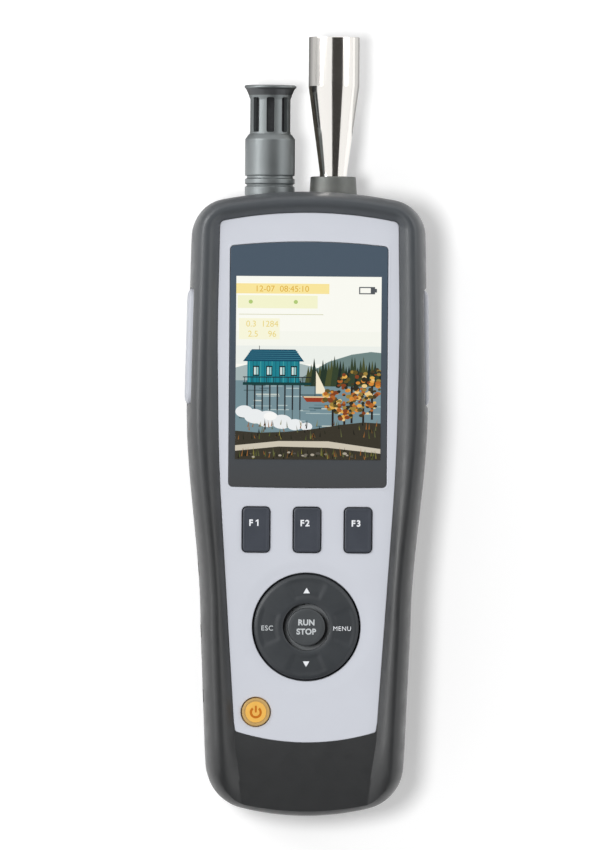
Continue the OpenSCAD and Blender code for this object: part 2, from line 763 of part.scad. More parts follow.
module power_key() {
    top = front_z + key_rise;
    color([0.96, 0.70, 0.25]) place() translate([-power_x, power_y]) rotate_extrude() polygon([
        [0, flange_z], [power_r + flange_w, flange_z], [power_r + flange_w, flange_z + flange_t],
        [power_r, flange_z + flange_t], [power_r, top - 0.5], [power_r - 0.4, top], [0, top]]);
}

// ---- Temperature and humidity sensor ----

base_neck_r = 6.6;                      // where the base passes through the shells' wall
base_top = body_len + stem_h;           // the guard's sleeve sits on it
base_bore_r = 4.9;

module sensor_base() {
    nut_top = body_len - shell_in - arch_fall(sensor_x + base_neck_r + 2) - fit;
    inside = nut_top - 2;
    color([0.35, 0.36, 0.37]) place() turned(-sensor_x, [
        [base_bore_r, inside], [base_neck_r + 2, inside], [base_neck_r + 2, nut_top],
        [base_neck_r, nut_top], [base_neck_r, stem_seat],
        [sleeve_r, stem_seat], [sleeve_r, base_top - 3.4], [sleeve_r - 0.5, base_top - 3.1],
        [sleeve_r - 0.5, base_top - 2.7], [sleeve_r, base_top - 2.4], [sleeve_r, base_top - 1],
        [sleeve_r - 0.6, base_top - 0.7], [sleeve_r - 0.6, base_top], [base_bore_r, base_top]]);
}

// Sleeve, slotted cage and flared mouth in one piece
module sensor_guard() {
    sleeve_top = body_len + sleeve_len;
    cage_top = body_len + guard_top - flare_len;
    mouth = body_len + guard_top;
    slot_low = sleeve_top + 0.8;
    bore_r = cage_r - cage_t;
    color([0.40, 0.42, 0.43]) place() difference() {
        turned(-sensor_x, [
            [bore_r, base_top], [sleeve_r, base_top], [sleeve_r, sleeve_top - 1.4],
            [cage_r + 0.4, sleeve_top], [cage_r, sleeve_top + 0.3], [cage_r, cage_top - 1],
            [cage_r + 0.4, cage_top + 0.4], [guard_mouth_r - 0.5, mouth - 1.2], [guard_mouth_r, mouth - 0.8],
            [guard_mouth_r, mouth - 0.3], [guard_mouth_r - 0.4, mouth], [cage_r - 0.2, mouth],
            [bore_r, mouth - 1.2]]);
        for (i = [0:slots - 1]) translate([-sensor_x, 0, parting_z]) rotate([0, 360 * i / slots, 0])
            translate([bore_r - over, slot_low, -slot_w / 2])
                cube([2 * cage_t, cage_top - 0.4 - slot_low, slot_w]);
    }
}
sleeve_len = 17.7;                      // from the head end to the foot of the cage
flare_len = 3.4;                        // length of the flared mouth
cage_t = 1.4;                           // wall of the cage
slot_w = 2.4;

module humidity_sensor() {
    low = body_len - shell_in - strip_in;
    high = body_len + strip_out;
    neck_y = base_top - cap_seat - 0.5;
    wide = 2 * (base_bore_r - 0.3);
    color([0.15, 0.40, 0.30]) place() translate([-sensor_x, 0, parting_z]) {
        translate([-wide / 2, low, -strip_t / 2]) cube([wide, neck_y - low, strip_t]);
        translate([-strip_w / 2, neck_y - over, -strip_t / 2]) cube([strip_w, high - neck_y + over, strip_t]);
        translate([-chip_w / 2, high - chip_w - 2, strip_t / 2]) cube([chip_w, chip_w, chip_t]);
    }
}
strip_in = 2;                           // how far the sensor's board reaches into the housing
strip_out = 24;                         // and out of the head end
strip_w = 6;
strip_t = 1;
chip_w = 4.4;
chip_t = 1.4;
cap_seat = 2;                           // how deep the filter cap sits in the sensor's base
cap_t = 0.4;

// Cap of fine mesh that keeps dust off the sensor
module sensor_filter() {
    r = base_bore_r - fit;
    top = body_len + guard_top - 3;
    color([0.20, 0.20, 0.20]) place() turned(-sensor_x, [
        [r - cap_t, base_top - cap_seat], [r, base_top - cap_seat], [r, top - 1], [r - 1, top], [0, top],
        [0, top - cap_t], [r - 1.2, top - cap_t], [r - cap_t, top - 1.2]]);
}

// ---- Inlet ----

collar_flare = 0.4;                     // how much wider the collar is at its seat
collar_neck_r = 6;                      // where the collar passes through the shells' wall
collar_top = body_len + stem_h;
spigot_r = 3.6;
spigot_len = 7;

module inlet_collar() {
    nut_top = body_len - shell_in - arch_fall(inlet_x + collar_neck_r + 2) - fit;
    inside = nut_top - 2;
    color([0.52, 0.53, 0.52]) place() turned(inlet_x, [
        [tube_r, inside], [collar_neck_r + 2, inside], [collar_neck_r + 2, nut_top],
        [collar_neck_r, nut_top], [collar_neck_r, stem_seat],
        [collar_r + collar_flare, stem_seat], [collar_r, collar_top - 0.4], [collar_r - 0.4, collar_top],
        [spigot_r, collar_top], [spigot_r, collar_top - spigot_len], [tube_r, collar_top - spigot_len]]);
}

module inlet_probe() {
    straight = total_len - probe_mouth_len;
    color([0.80, 0.80, 0.82]) place() turned(inlet_x, [
        [spigot_r - 1, collar_top - spigot_len], [spigot_r, collar_top - spigot_len], [spigot_r, collar_top],
        [probe_foot_r, collar_top], [probe_foot_r, collar_top + 1], [probe_r, straight], [probe_r, total_len],
        [probe_r - probe_wall, total_len], [probe_r - probe_wall, straight], [spigot_r - 1, collar_top + 1]]);
}

module inlet_tube() {
    color([0.75, 0.75, 0.70]) place() difference() {
        pipe(inlet_x, tube_r, chamber_y + chamber_len / 2 - tube_seat, collar_top - spigot_len);
        pipe(inlet_x, tube_r - tube_t, chamber_y, collar_top);
    }
}
tube_t = 1;

// ---- Optics, pump and outlet ----

module optical_chamber() {
    half_len = chamber_len / 2;
    seat = parting_z - chamber_h / 2;
    color([0.12, 0.12, 0.13]) place() difference() {
        translate([inlet_x, chamber_y]) plate(chamber_w, chamber_len, corner_r, seat, seat + chamber_h);
        pipe(inlet_x, tube_r, chamber_y + half_len - tube_seat, chamber_y + chamber_len);
        pipe(inlet_x, duct_r, chamber_y - chamber_len, chamber_y + chamber_len);
        pipe(inlet_x, tube_r, chamber_y - chamber_len, chamber_y - half_len + tube_seat);
        translate([inlet_x - chamber_w / 2, chamber_y, parting_z]) rotate([0, 90, 0]) {
            translate([0, 0, -over]) cylinder(r = laser_r, h = laser_seat + over);
            cylinder(r = beam_r, h = chamber_w - laser_seat);
        }
        translate([inlet_x, chamber_y]) {
            rod(beam_r, seat - over, parting_z);
            rod(detector_r, seat - over, seat + detector_seat);
        }
    }
}

module laser_module() {
    color([0.72, 0.58, 0.30]) place() translate([inlet_x - chamber_w / 2 + laser_seat, chamber_y, parting_z])
        rotate([0, -90, 0]) difference() {
            union() {
                cylinder(r = laser_r, h = laser_len);
                translate([0, 0, laser_seat + 1]) cylinder(r = laser_ring_r, h = laser_ring_t);
            }
            translate([0, 0, -over]) cylinder(r = beam_r, h = laser_seat);
        }
}

module photodetector() {
    seat = parting_z - chamber_h / 2;
    color([0.60, 0.60, 0.62]) place() translate([inlet_x, chamber_y]) {
        rod(detector_r, seat - detector_gap, seat + detector_seat);
        plate(detector_w, detector_w, 1, seat - detector_gap - board_t, seat - detector_gap);
    }
}

module air_pump() {
    color([0.25, 0.25, 0.28]) place() translate([inlet_x, pump_y, parting_z]) {
        cube([pump_head_w, pump_head_len, chamber_h], center = true);
        translate([pump_head_w / 2, 0, 0]) rotate([0, 90, 0]) cylinder(r = pump_motor_r, h = pump_motor_len);
    }
}

module pump_tube() {
    low = pump_y + pump_head_len / 2;
    color([0.75, 0.75, 0.70]) place() difference() {
        pipe(inlet_x, tube_r, low, chamber_y - chamber_len / 2 + tube_seat);
        pipe(inlet_x, tube_r - tube_t, low - over, chamber_y);
    }
}

module outlet_filter() {
    color([0.88, 0.88, 0.85]) place() translate([filter_x, pump_y, parting_z]) rotate([0, 90, 0]) {
        cylinder(r = filter_r, h = filter_len, center = true);
        cylinder(r = nipple_r, h = filter_len + 2 * nipple_len, center = true);
    }
}
nipple_r = 2.5;
nipple_len = 3;

module outlet_tube() {
    low = filter_x + filter_len / 2 + nipple_len;
    len = inlet_x - pump_head_w / 2 - low;
    color([0.75, 0.75, 0.70]) place() translate([low, pump_y, parting_z]) rotate([0, 90, 0]) difference() {
        cylinder(r = nipple_r, h = len);
        translate([0, 0, -over]) cylinder(r = nipple_r - tube_t, h = len + 2 * over);
    }
}

// ---- Battery, back and ports ----

module battery_pack() {
    color([0.20, 0.40, 0.70]) place() translate([0, door_y, cell_z]) {
        for (x = [-1, 1]) translate([x * cell_r, 0, 0]) rotate([90, 0, 0])
            cylinder(r = cell_r, h = cell_len, center = true);
        translate([0, 0, 0]) cube([2 * cell_r, cell_len, 2 * cell_r], center = true);
    }
}

module battery_cover() {
    color([0.78, 0.79, 0.83]) place() difference() {
        union() {
            translate([0, door_y]) plate(door_w, door_len, door_r - door_gap, rim_h, rim_h + door_t);
            translate([0, cover_screw_y]) plate(tab_w, 2 * (tab_len - door_gap), tab_r, rim_h, rim_h + door_t);
            for (x = [-1, 1]) translate([x * cell_r, door_y])
                plate(cover_rib_t, door_len - 2 * ledge_w - 2, 0.5, rim_h, cell_z - cell_r - 0.3);
        }
        translate([0, cover_screw_y]) rod(cover_screw_r + 0.2, 0, floor_z);
        translate([0, cover_screw_y]) rod(cover_head_r + 0.3, 0, rim_h + 1.2);
    }
}
cover_head_r = 2.6;
cover_rib_t = 2;

module cover_screw() {
    color("silver") place() translate([0, cover_screw_y])
        screw(cover_screw_r, floor_z - rim_h - 1.4, cover_head_r, 1, rim_h + 1.2);
}

module case_screws() {
    color("silver") place() for (p = case_screw_spots) translate(p)
        screw(case_screw_r, case_screw_len, case_head_r, case_head_h, case_seat_z);
}

module tripod_insert() {
    color([0.80, 0.65, 0.30]) place() translate([0, tripod_y]) difference() {
        rod(insert_r, insert_z, insert_z + insert_len);
        rod(tripod_r, insert_z - over, insert_z + insert_len - 1.5);
    }
}

module camera_window() {
    color([0.15, 0.18, 0.22]) place() translate([-vent_x, camera_y]) rod(camera_r, rim_h + 0.3, rim_h + 0.3 + camera_t);
}

module camera_module() {
    color([0.10, 0.10, 0.10]) place() translate([-vent_x, camera_y]) {
        rod(camera_r - 1.3, rim_h + camera_t + 0.6, floor_z);
        plate(2 * camera_r, 2 * camera_r, 1, floor_z, floor_z + 5);
    }
}

module port_board() {
    color([0.10, 0.35, 0.20]) place() translate([0, port_board_y])
        plate(port_board_w, port_board_len, 1, port_z - board_t, port_z);
}

usb_w = 7.8;
usb_h = 4;
usb_len = 9;
usb_t = 0.4;
jack_w = 9;
jack_h = 8;
jack_len = 12;
jack_pin_r = 0.8;
jack_bore_r = 2.75;
port_front = 7;                         // face of the sockets behind the foot end
port_gap = 0.6;                         // from the usb socket to its opening's sides

module port_holes(grow) {
    translate([usb_x, 0, port_z + usb_h / 2]) rotate([90, 0, 0]) translate([0, 0, -port_front - over])
        linear_extrude(port_front + 2 * over)
            pad(usb_w + 2 * (port_gap + grow), usb_h + 2 * (port_gap + grow), 0.8);
    translate([jack_x, -over, port_z + jack_h / 2]) rotate([-90, 0, 0])
        cylinder(r = jack_bore_r + 1 + grow, h = port_front + 2 * over);
}

module usb_socket() {
    color("silver") place() difference() {
        translate([usb_x - usb_w / 2, port_front, port_z]) cube([usb_w, usb_len, usb_h]);
        translate([usb_x - usb_w / 2 + usb_t, port_front - over, port_z + usb_t])
            cube([usb_w - 2 * usb_t, usb_len - 1, usb_h - 2 * usb_t]);
    }
}

module charge_jack() {
    color([0.12, 0.12, 0.12]) place() {
        difference() {
            translate([jack_x - jack_w / 2, port_front, port_z]) cube([jack_w, jack_len, jack_h]);
            translate([jack_x, port_front - over, port_z + jack_h / 2]) rotate([-90, 0, 0])
                cylinder(r = jack_bore_r, h = jack_len - 2);
        }
        translate([jack_x, port_front + 1, port_z + jack_h / 2]) rotate([-90, 0, 0])
            cylinder(r = jack_pin_r, h = jack_len - 2);
    }
}

rubber_cover();
front_housing();
rear_housing();
side_insert_left();
side_insert_right();
display_lens();
lcd_module();
main_board();
board_screws();
keypad_mat();
key_f1();
key_f2();
key_f3();
nav_pivot();
nav_ring();
run_stop_key();
power_key();
sensor_base();
sensor_guard();
humidity_sensor();
sensor_filter();
inlet_collar();
inlet_probe();
inlet_tube();
optical_chamber();
laser_module();
photodetector();
air_pump();
pump_tube();
outlet_filter();
outlet_tube();
battery_pack();
battery_cover();
cover_screw();
case_screws();
tripod_insert();
camera_window();
camera_module();
buzzer();
port_board();
usb_socket();
charge_jack();
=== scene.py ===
"""Looks of a hand-held airborne particle counter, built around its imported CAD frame.

Lengths are in millimetres until they become a mesh. The foot is at y = 0, as in the part's source.
"""

import json
import random
from math import acos, atan2, cos, exp, hypot, pi, radians, sin, sqrt, tan

import bmesh
import bpy
from mathutils import Matrix, Vector


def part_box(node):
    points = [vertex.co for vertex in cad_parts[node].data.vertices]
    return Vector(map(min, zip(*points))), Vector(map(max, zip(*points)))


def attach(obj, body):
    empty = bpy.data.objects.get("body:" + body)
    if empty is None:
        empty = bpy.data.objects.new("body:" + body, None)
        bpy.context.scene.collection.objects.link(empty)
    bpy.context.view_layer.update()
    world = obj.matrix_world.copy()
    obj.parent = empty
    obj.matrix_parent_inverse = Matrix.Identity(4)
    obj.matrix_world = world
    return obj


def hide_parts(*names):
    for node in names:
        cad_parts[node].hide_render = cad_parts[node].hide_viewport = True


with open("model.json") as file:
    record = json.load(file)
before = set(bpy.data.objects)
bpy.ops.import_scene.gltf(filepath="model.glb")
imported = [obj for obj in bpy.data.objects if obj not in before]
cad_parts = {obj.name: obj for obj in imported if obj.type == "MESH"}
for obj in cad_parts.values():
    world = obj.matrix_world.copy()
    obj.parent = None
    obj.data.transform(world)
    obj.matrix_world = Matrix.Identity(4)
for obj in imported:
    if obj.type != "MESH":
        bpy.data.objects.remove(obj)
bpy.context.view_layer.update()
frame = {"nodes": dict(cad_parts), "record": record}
NODES = frame["nodes"]
RANDOM = random.Random(21)
uniform, choice = RANDOM.uniform, RANDOM.choice

MM = 0.001
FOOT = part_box("rubber_cover")[0].y / MM  # y of the foot in the frame
TAU = 2 * pi
RIGHT_ANGLE = pi / 2
MERGE = 1e-7  # points nearer than this, in metres, become one

# ---- Driving sizes, as in the part's source ----

BODY_LEN, BODY_DEPTH, TOTAL_LEN = 192, 57, 240
HEAD_HALF_W, GRIP_HALF_W = 37, 32.2
WAIST_Y, SHOULDER_Y = 58, 125
FOOT_TAPER, HEAD_TAPER = 0.042, 0.02
HEAD_ARCH_R, HEAD_CORNER_R = 140, 11.5
FOOT_ARCH_R, FOOT_CORNER_R = 82, 14
WALL, PARTING_Z = 2.5, 30
RUBBER_T, LIP_T, CREST_H, RIM_H = 3, 2, 3, 1
EDGE_W, EDGE_END_W, EDGE_H = 4.2, 2.8, 11
BACK_EDGE_W, BACK_EDGE_H, BACK_PANEL_IN = 5.5, 14, 7
CHIN_LEN, CHIN_DROP, CHIN_CURVE = 22.4, 5, 1.6
CREST_START, CREST_FADE, CREST_FLAT = -3, 18, 0.5
WINDOW_LEN, WINDOW_H, WINDOW_Y, WINDOW_R = 35.5, 20, BODY_LEN - 47.8, 3
RELIEF_W, RELIEF_T, INSERT_PROUD, GROOVE_T, GROOVE_R = 1, 1, 0.8, 0.7, 4
GROOVES = (36, 56, 75)
USB_X, USB_W, USB_H, JACK_X, JACK_R, PORT_Z, PORT_DEPTH = -6.5, 9.8, 6, 6.5, 4.15, 20, 9
PANEL_HALF_W, PANEL_TOP, PANEL_ARCH_R, PANEL_CORNER_R, PANEL_SEAM = 27.4, 6.6, 136, 1.8, 0.15
PANEL_TAPER, PANEL_BEND_TOP, PANEL_BEND_LEN = 0.066, 125, 30
LENS_HALF_W, LENS_LEN, LENS_Y, LENS_T = 24.2, 75.5, 138.65, 1.7
LENS_CORNER_R, LENS_ARCH_R, LENS_FOOT_R = 1.2, 210, 1000
SCREEN_W, SCREEN_LEN, SCREEN_DROP = 44.6, 56.2, 0.95
F_KEY_Y, F_KEY_PITCH, F_KEY_W, F_KEY_LEN, F_KEY_R = 88, 15.65, 8.2, 13.6, 1.2
NAV_Y, NAV_R, NAV_HOLE_R, RUN_R, RUN_STEM_R = 58.2, 16.1, 7.2, 5.8, 4
POWER_X, POWER_Y, POWER_R = -15.3, 32, 4.3
KEY_RISE, KEY_GAP, KEY_TRAVEL, NAV_GAP, NAV_FLANGE_GAP = 1, 0.3, 0.8, 0.55, 1.1
FLANGE_W, FLANGE_T, MAT_Z, PIVOT_TOP = 1, 1, 45.8, 47.1
SENSOR_X, GUARD_TOP, GUARD_MOUTH_R, CAGE_R, CAGE_T = -12, 33, 8, 6.3, 1.4
SLEEVE_R, SLEEVE_LEN, FLARE_LEN, SLOTS, SLOT_W = 7.7, 17.7, 3.4, 8, 2.4
BASE_NECK_R, BASE_BORE_R, COLLAR_NECK_R, TUBE_R = 6.6, 4.9, 6, 3
STEM_H, NUT_LOW, NUT_TOP, NUT_W = 5, 183, 185, 2
INLET_X, COLLAR_R, COLLAR_FLARE, SPIGOT_R, SPIGOT_LEN = 7.6, 7, 0.4, 3.6, 7
PROBE_R, PROBE_WALL, PROBE_MOUTH_LEN, PROBE_FOOT_R = 7.85, 0.8, 15.2, 4.2

# ---- Small refinements of the looks, each under a millimetre ----

BELLY_W, BELLY_Y, BELLY_LEN = 0.55, 149, 24  # the panel widens beside the lens
PANEL_FOOT_R, PANEL_FOOT_GAP = 72, 0.3  # its foot is a little more arched
CHIN_TAPER = 0.09  # the chin narrows towards the foot
LENS_BEAD_W, NAV_DISH_W = 1.1, 5  # a low bead round the lens, a dip round the ring
F_KEY_SINK = 0.07  # depth of the flat field on a function key
NAV_SINK, NAV_RIM = 0.32, 0.4  # depth of the ring's fields, and fall of its face
NAV_EDGE_W, NAV_HOLE_EDGE_W = 1.1, 1.5  # widths of the ring's rounded edges
RUN_EDGE_W, RUN_DISH_W, RUN_DISH = 1.2, 2.4, 0.16

FRONT_Z = BODY_DEPTH - CREST_H
ROUND_Z = BODY_DEPTH - EDGE_H
LENS_HIGH = LENS_Y + LENS_LEN / 2
LENS_LOW = LENS_Y - LENS_LEN / 2
LENS_Z = FRONT_Z - 0.1  # face of the lens
SCREEN_LEFT, SCREEN_LOW = -SCREEN_W / 2, LENS_Y - SCREEN_DROP - SCREEN_LEN / 2
FLANGE_Z = FRONT_Z - LIP_T - WALL - KEY_GAP - FLANGE_T
KEY_TOP = FRONT_Z + KEY_RISE
NAV_TOP = KEY_TOP + 0.4
STEM_SEAT = BODY_LEN - 1.5
STEM_TOP = BODY_LEN + STEM_H  # upper face of the sensor's base and the collar

# Steps on a corner, half an arch, a side, a front edge, a back edge and a circle
CORNER_STEPS, ARCH_STEPS, SIDE_STEPS, EDGE_STEPS, BACK_STEPS, ROUND_STEPS = 16, 20, 70, 12, 10, 96


# ---- Outlines ----

def mix(a, b, t):
    return a + (b - a) * t


def ramp(t):
    c = min(1, max(0, t))
    return c * c * (3 - 2 * c)


def shares(n):
    """From 0 to 1 in n steps."""
    return [k / n for k in range(n + 1)]


def quarter(steps):
    """Angles from 0 to a right angle."""
    return [RIGHT_ANGLE * k / steps for k in range(steps + 1)]


def body_half_w(y):
    wide = mix(GRIP_HALF_W, HEAD_HALF_W, ramp((y - WAIST_Y) / (SHOULDER_Y - WAIST_Y)))
    return wide - FOOT_TAPER * max(0, WAIST_Y - y) - HEAD_TAPER * max(0, y - SHOULDER_Y)


def panel_w(y):
    s = max(0, PANEL_BEND_TOP - y)
    wide = PANEL_HALF_W + BELLY_W * exp(-((y - BELLY_Y) / BELLY_LEN) ** 2)
    if s < PANEL_BEND_LEN:
        return wide - PANEL_TAPER * s * s / 2 / PANEL_BEND_LEN
    return wide - PANEL_TAPER * (s - PANEL_BEND_LEN / 2)


def chin_half_w(y):
    return panel_w(y) + PANEL_SEAM - CHIN_TAPER * max(0, CHIN_LEN - y)


def chin_z(y):
    return FRONT_Z - CHIN_DROP * max(0, 1 - y / CHIN_LEN) ** CHIN_CURVE


def crest_z(y):
    return chin_z(max(0, y)) + CREST_H * ramp((y - CREST_START) / CREST_FADE)


def arched_end(w, arch_r, corner_r):
    """Half of an arched end, as (x, distance below the top of the arch), from the side to the middle."""
    cx = w - corner_r
    cy = sqrt((arch_r - corner_r) ** 2 - cx * cx)
    turn = atan2(cy, cx)
    corner = [(cx + corner_r * cos(a), arch_r - cy - corner_r * sin(a))
        for a in (turn * i / CORNER_STEPS for i in range(CORNER_STEPS + 1))]
    arch = [(arch_r * cos(a), arch_r - arch_r * sin(a))
        for a in (mix(turn, RIGHT_ANGLE, t) for t in shares(ARCH_STEPS)[1:])]
    arch[-1] = (0, 0)
    return corner + arch


def half_outline(half_w, low, high, foot, head):
    """Right half of an outline from the foot to the head; foot and head are (arch radius, corner radius)."""
    f = arched_end(half_w(low + foot[1]), *foot)
    h = arched_end(half_w(high - head[1]), *head)
    y0, y1 = low + f[0][1], high - h[0][1]
    side = [(half_w(y), y) for y in (mix(y0, y1, t) for t in shares(SIDE_STEPS)[1:-1])]
    return [(x, low + d) for x, d in reversed(f)] + side + [(x, high - d) for x, d in h]


def body_half(side_in, end_in):
    return half_outline(lambda y: body_half_w(y) - side_in, end_in, BODY_LEN - end_in,
        (FOOT_ARCH_R - end_in, max(1, FOOT_CORNER_R - side_in)),
        (HEAD_ARCH_R - end_in, max(1, HEAD_CORNER_R - side_in)))


def panel_half(inset=0):
    return half_outline(lambda y: panel_w(y) - inset, CHIN_LEN + PANEL_FOOT_GAP + inset,
        BODY_LEN - PANEL_TOP - inset, (PANEL_FOOT_R, 1), (PANEL_ARCH_R - inset, PANEL_CORNER_R))


def lens_half(gap=0):
    corner_r = LENS_CORNER_R + gap
    return half_outline(lambda y: LENS_HALF_W + gap, LENS_LOW - gap, LENS_HIGH + gap,
        (LENS_FOOT_R + gap, corner_r), (LENS_ARCH_R + gap, corner_r))


def mirrored(half):
    """A whole loop from its right half, whose first and last points are on the middle line."""
    return half + [(-p[0], *p[1:]) for p in half[-2:0:-1]]


def at_z(half, z):
    return [(x, y, z) for x, y in half]


def pad(w, length, r, x=0, y=0, steps=8):
    """A rounded rectangle about (x, y), counter-clockwise."""
    points = []
    for k, (sx, sy) in enumerate(((1, 1), (-1, 1), (-1, -1), (1, -1))):
        cx, cy = x + sx * (w / 2 - r), y + sy * (length / 2 - r)
        for a in (TAU * (k + i / steps) / 4 for i in range(steps + 1)):
            points.append((cx + r * cos(a), cy + r * sin(a)))
    return points


def f_key_loop(i, grow):
    """The outline of function key i, which is -1, 0 or 1, made larger by grow."""
    return pad(F_KEY_W + 2 * grow, F_KEY_LEN + 2 * grow, max(0.15, F_KEY_R + grow), i * F_KEY_PITCH, F_KEY_Y)


def circle(r, x=0, y=0, steps=ROUND_STEPS):
    return [(x + r * cos(a), y + r * sin(a)) for a in (TAU * i / steps for i in range(steps))]


def softened(profile, radii, steps=5):
    """A polyline whose inner points are rounded; radii is {index: radius}."""
    longest = 0.48  # share of a side that one round may take
    out = [profile[0]]
    for i in range(1, len(profile) - 1):
        p, a, b = Vector(profile[i]), Vector(profile[i - 1]), Vector(profile[i + 1])
        r = radii.get(i, 0)
        u, v = (a - p).normalized(), (b - p).normalized()
        half = acos(max(-1, min(1, u.dot(v)))) / 2
        if r <= 0 or half > RIGHT_ANGLE - 0.02:
            out.append(tuple(p))
            continue
        reach = min(r / tan(half), (a - p).length * longest, (b - p).length * longest)
        for t in shares(steps):
            out.append(tuple((p + u * reach) * (1 - t) ** 2 + p * 2 * t * (1 - t) + (p + v * reach) * t * t))
    out.append(profile[-1])
    return out


# ---- Meshes ----

def to_frame(p):
    return Vector((p[0] * MM, (p[1] + FOOT) * MM, p[2] * MM))


def new_object(name, data):
    obj = bpy.data.objects.new(name, data)
    bpy.context.scene.collection.objects.link(obj)
    return obj


def smooth(obj, angle):
    obj.data.shade_smooth()
    obj.data.set_sharp_from_angle(angle=radians(angle))


def dress(obj, *looks):
    obj.data.materials.clear()
    for look in looks:
        obj.data.materials.append(look.mat)


def finish_mesh(name, bm, body=None, slot=None, replaces=(), looks=None, angle=35):
    """A piece that rides on a body, in its slot's look; without a body it is only a tool for a cut."""
    bmesh.ops.remove_doubles(bm, verts=bm.verts, dist=MERGE)
    bmesh.ops.recalc_face_normals(bm, faces=bm.faces)
    mesh = bpy.data.meshes.new(name)
    bm.to_mesh(mesh)
    bm.free()
    obj = new_object(name, mesh)
    smooth(obj, angle)
    if body:
        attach(obj, body)
        dress(obj, *(looks or [LOOKS[slot]]))
    if replaces:
        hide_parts(*replaces)
    return obj


def even_normals(obj):
    obj.modifiers.new("normals", "WEIGHTED_NORMAL").keep_sharp = True


def even_piece(name, bm, body, slot, replaces, looks=None, angle=40):
    obj = finish_mesh(name, bm, body, slot, (replaces,), looks, angle)
    even_normals(obj)
    return obj


def lofted(bm, loops, cap_low=False, cap_high=False):
    """Quads between closed loops of (x, y, z) with equal counts; a cap is one face."""
    rows = [[bm.verts.new(to_frame(p)) for p in loop] for loop in loops]
    n = len(rows[0])
    for a, b in zip(rows, rows[1:]):
        for i in range(n):
            bm.faces.new((a[i], a[(i + 1) % n], b[(i + 1) % n], b[i]))
    if cap_low:
        bm.faces.new(rows[0][::-1])
    if cap_high:
        bm.faces.new(rows[-1])
    return rows


def closed_loft(loops):
    bm = bmesh.new()
    lofted(bm, loops, True, True)
    return bm


def strip_cap(bm, row):
    """Faces across a loop that was mirrored from its half, between points of equal height."""
    n = len(row)
    m = n // 2 + 1
    bm.faces.new((row[0], row[1], row[n - 1]))
    for i in range(1, m - 2):
        bm.faces.new((row[i], row[i + 1], row[n - i - 1], row[n - i]))
    bm.faces.new((row[m - 2], row[m - 1], row[m]))


def stack(halves):
    """Closed solid through half outlines of (x, y, z), lowest first."""
    bm = bmesh.new()
    rows = lofted(bm, [mirrored(h) for h in halves])
    strip_cap(bm, rows[0])
    strip_cap(bm, rows[-1])
    return bm


def slab(half, low, high):
    return stack([at_z(half, low), at_z(half, high)])


def stem_hole(x, r, low):
    """A rod at the height of the parting line, from y = low out through the head."""
    return closed_loft([[(px, y, z) for z, px in circle(r, PARTING_Z, x)] for y in (low, BODY_LEN + 1)])


def lathed(profile, x, z=PARTING_Z, y=None, closed=True, steps=ROUND_STEPS):
    """Solid of revolution from (radius, height) points, along Y at (x, z), or along Z at (x, y) if y is given."""
    rings = []
    for r, h in profile:
        if y is None:
            rings.append([(px, h, pz) for pz, px in circle(r, z, x, steps)])
        else:
            rings.append(at_z(circle(r, x, y, steps), h))
    if closed:
        rings.append(rings[0])
    bm = bmesh.new()
    lofted(bm, rings)
    return bm


def evaluated(obj):
    return bpy.data.meshes.new_from_object(obj.evaluated_get(bpy.context.evaluated_depsgraph_get()))


def cut(obj, *cutters):
    """Subtracts closed bmeshes from obj."""
    for bm in cutters:
        tool = finish_mesh("cutter", bm)
        modifier = obj.modifiers.new("cut", "BOOLEAN")
        modifier.operation, modifier.solver, modifier.object = "DIFFERENCE", "EXACT", tool
        mesh = evaluated(obj)
        obj.modifiers.clear()
        obj.data = mesh
        bpy.data.objects.remove(tool)


# ---- Materials ----

NOISE, CELLS = "ShaderNodeTexNoise", "ShaderNodeTexVoronoi"


def srgb(*c):
    return tuple((v / 255 / 12.92 if v <= 10.31 else ((v / 255 + 0.055) / 1.055) ** 2.4) for v in c) + (1,)


def plug(tree, node, inputs):
    """Gives inputs, by name or number, a value or another node's output."""
    for socket, value in inputs.items():
        if isinstance(value, bpy.types.NodeSocket):
            tree.links.new(value, node.inputs[socket])
        else:
            node.inputs[socket].default_value = value


def add_node(tree, kind, inputs, **settings):
    node = tree.nodes.new(kind)
    for key, value in settings.items():
        setattr(node, key, value)
    plug(tree, node, inputs)
    return node


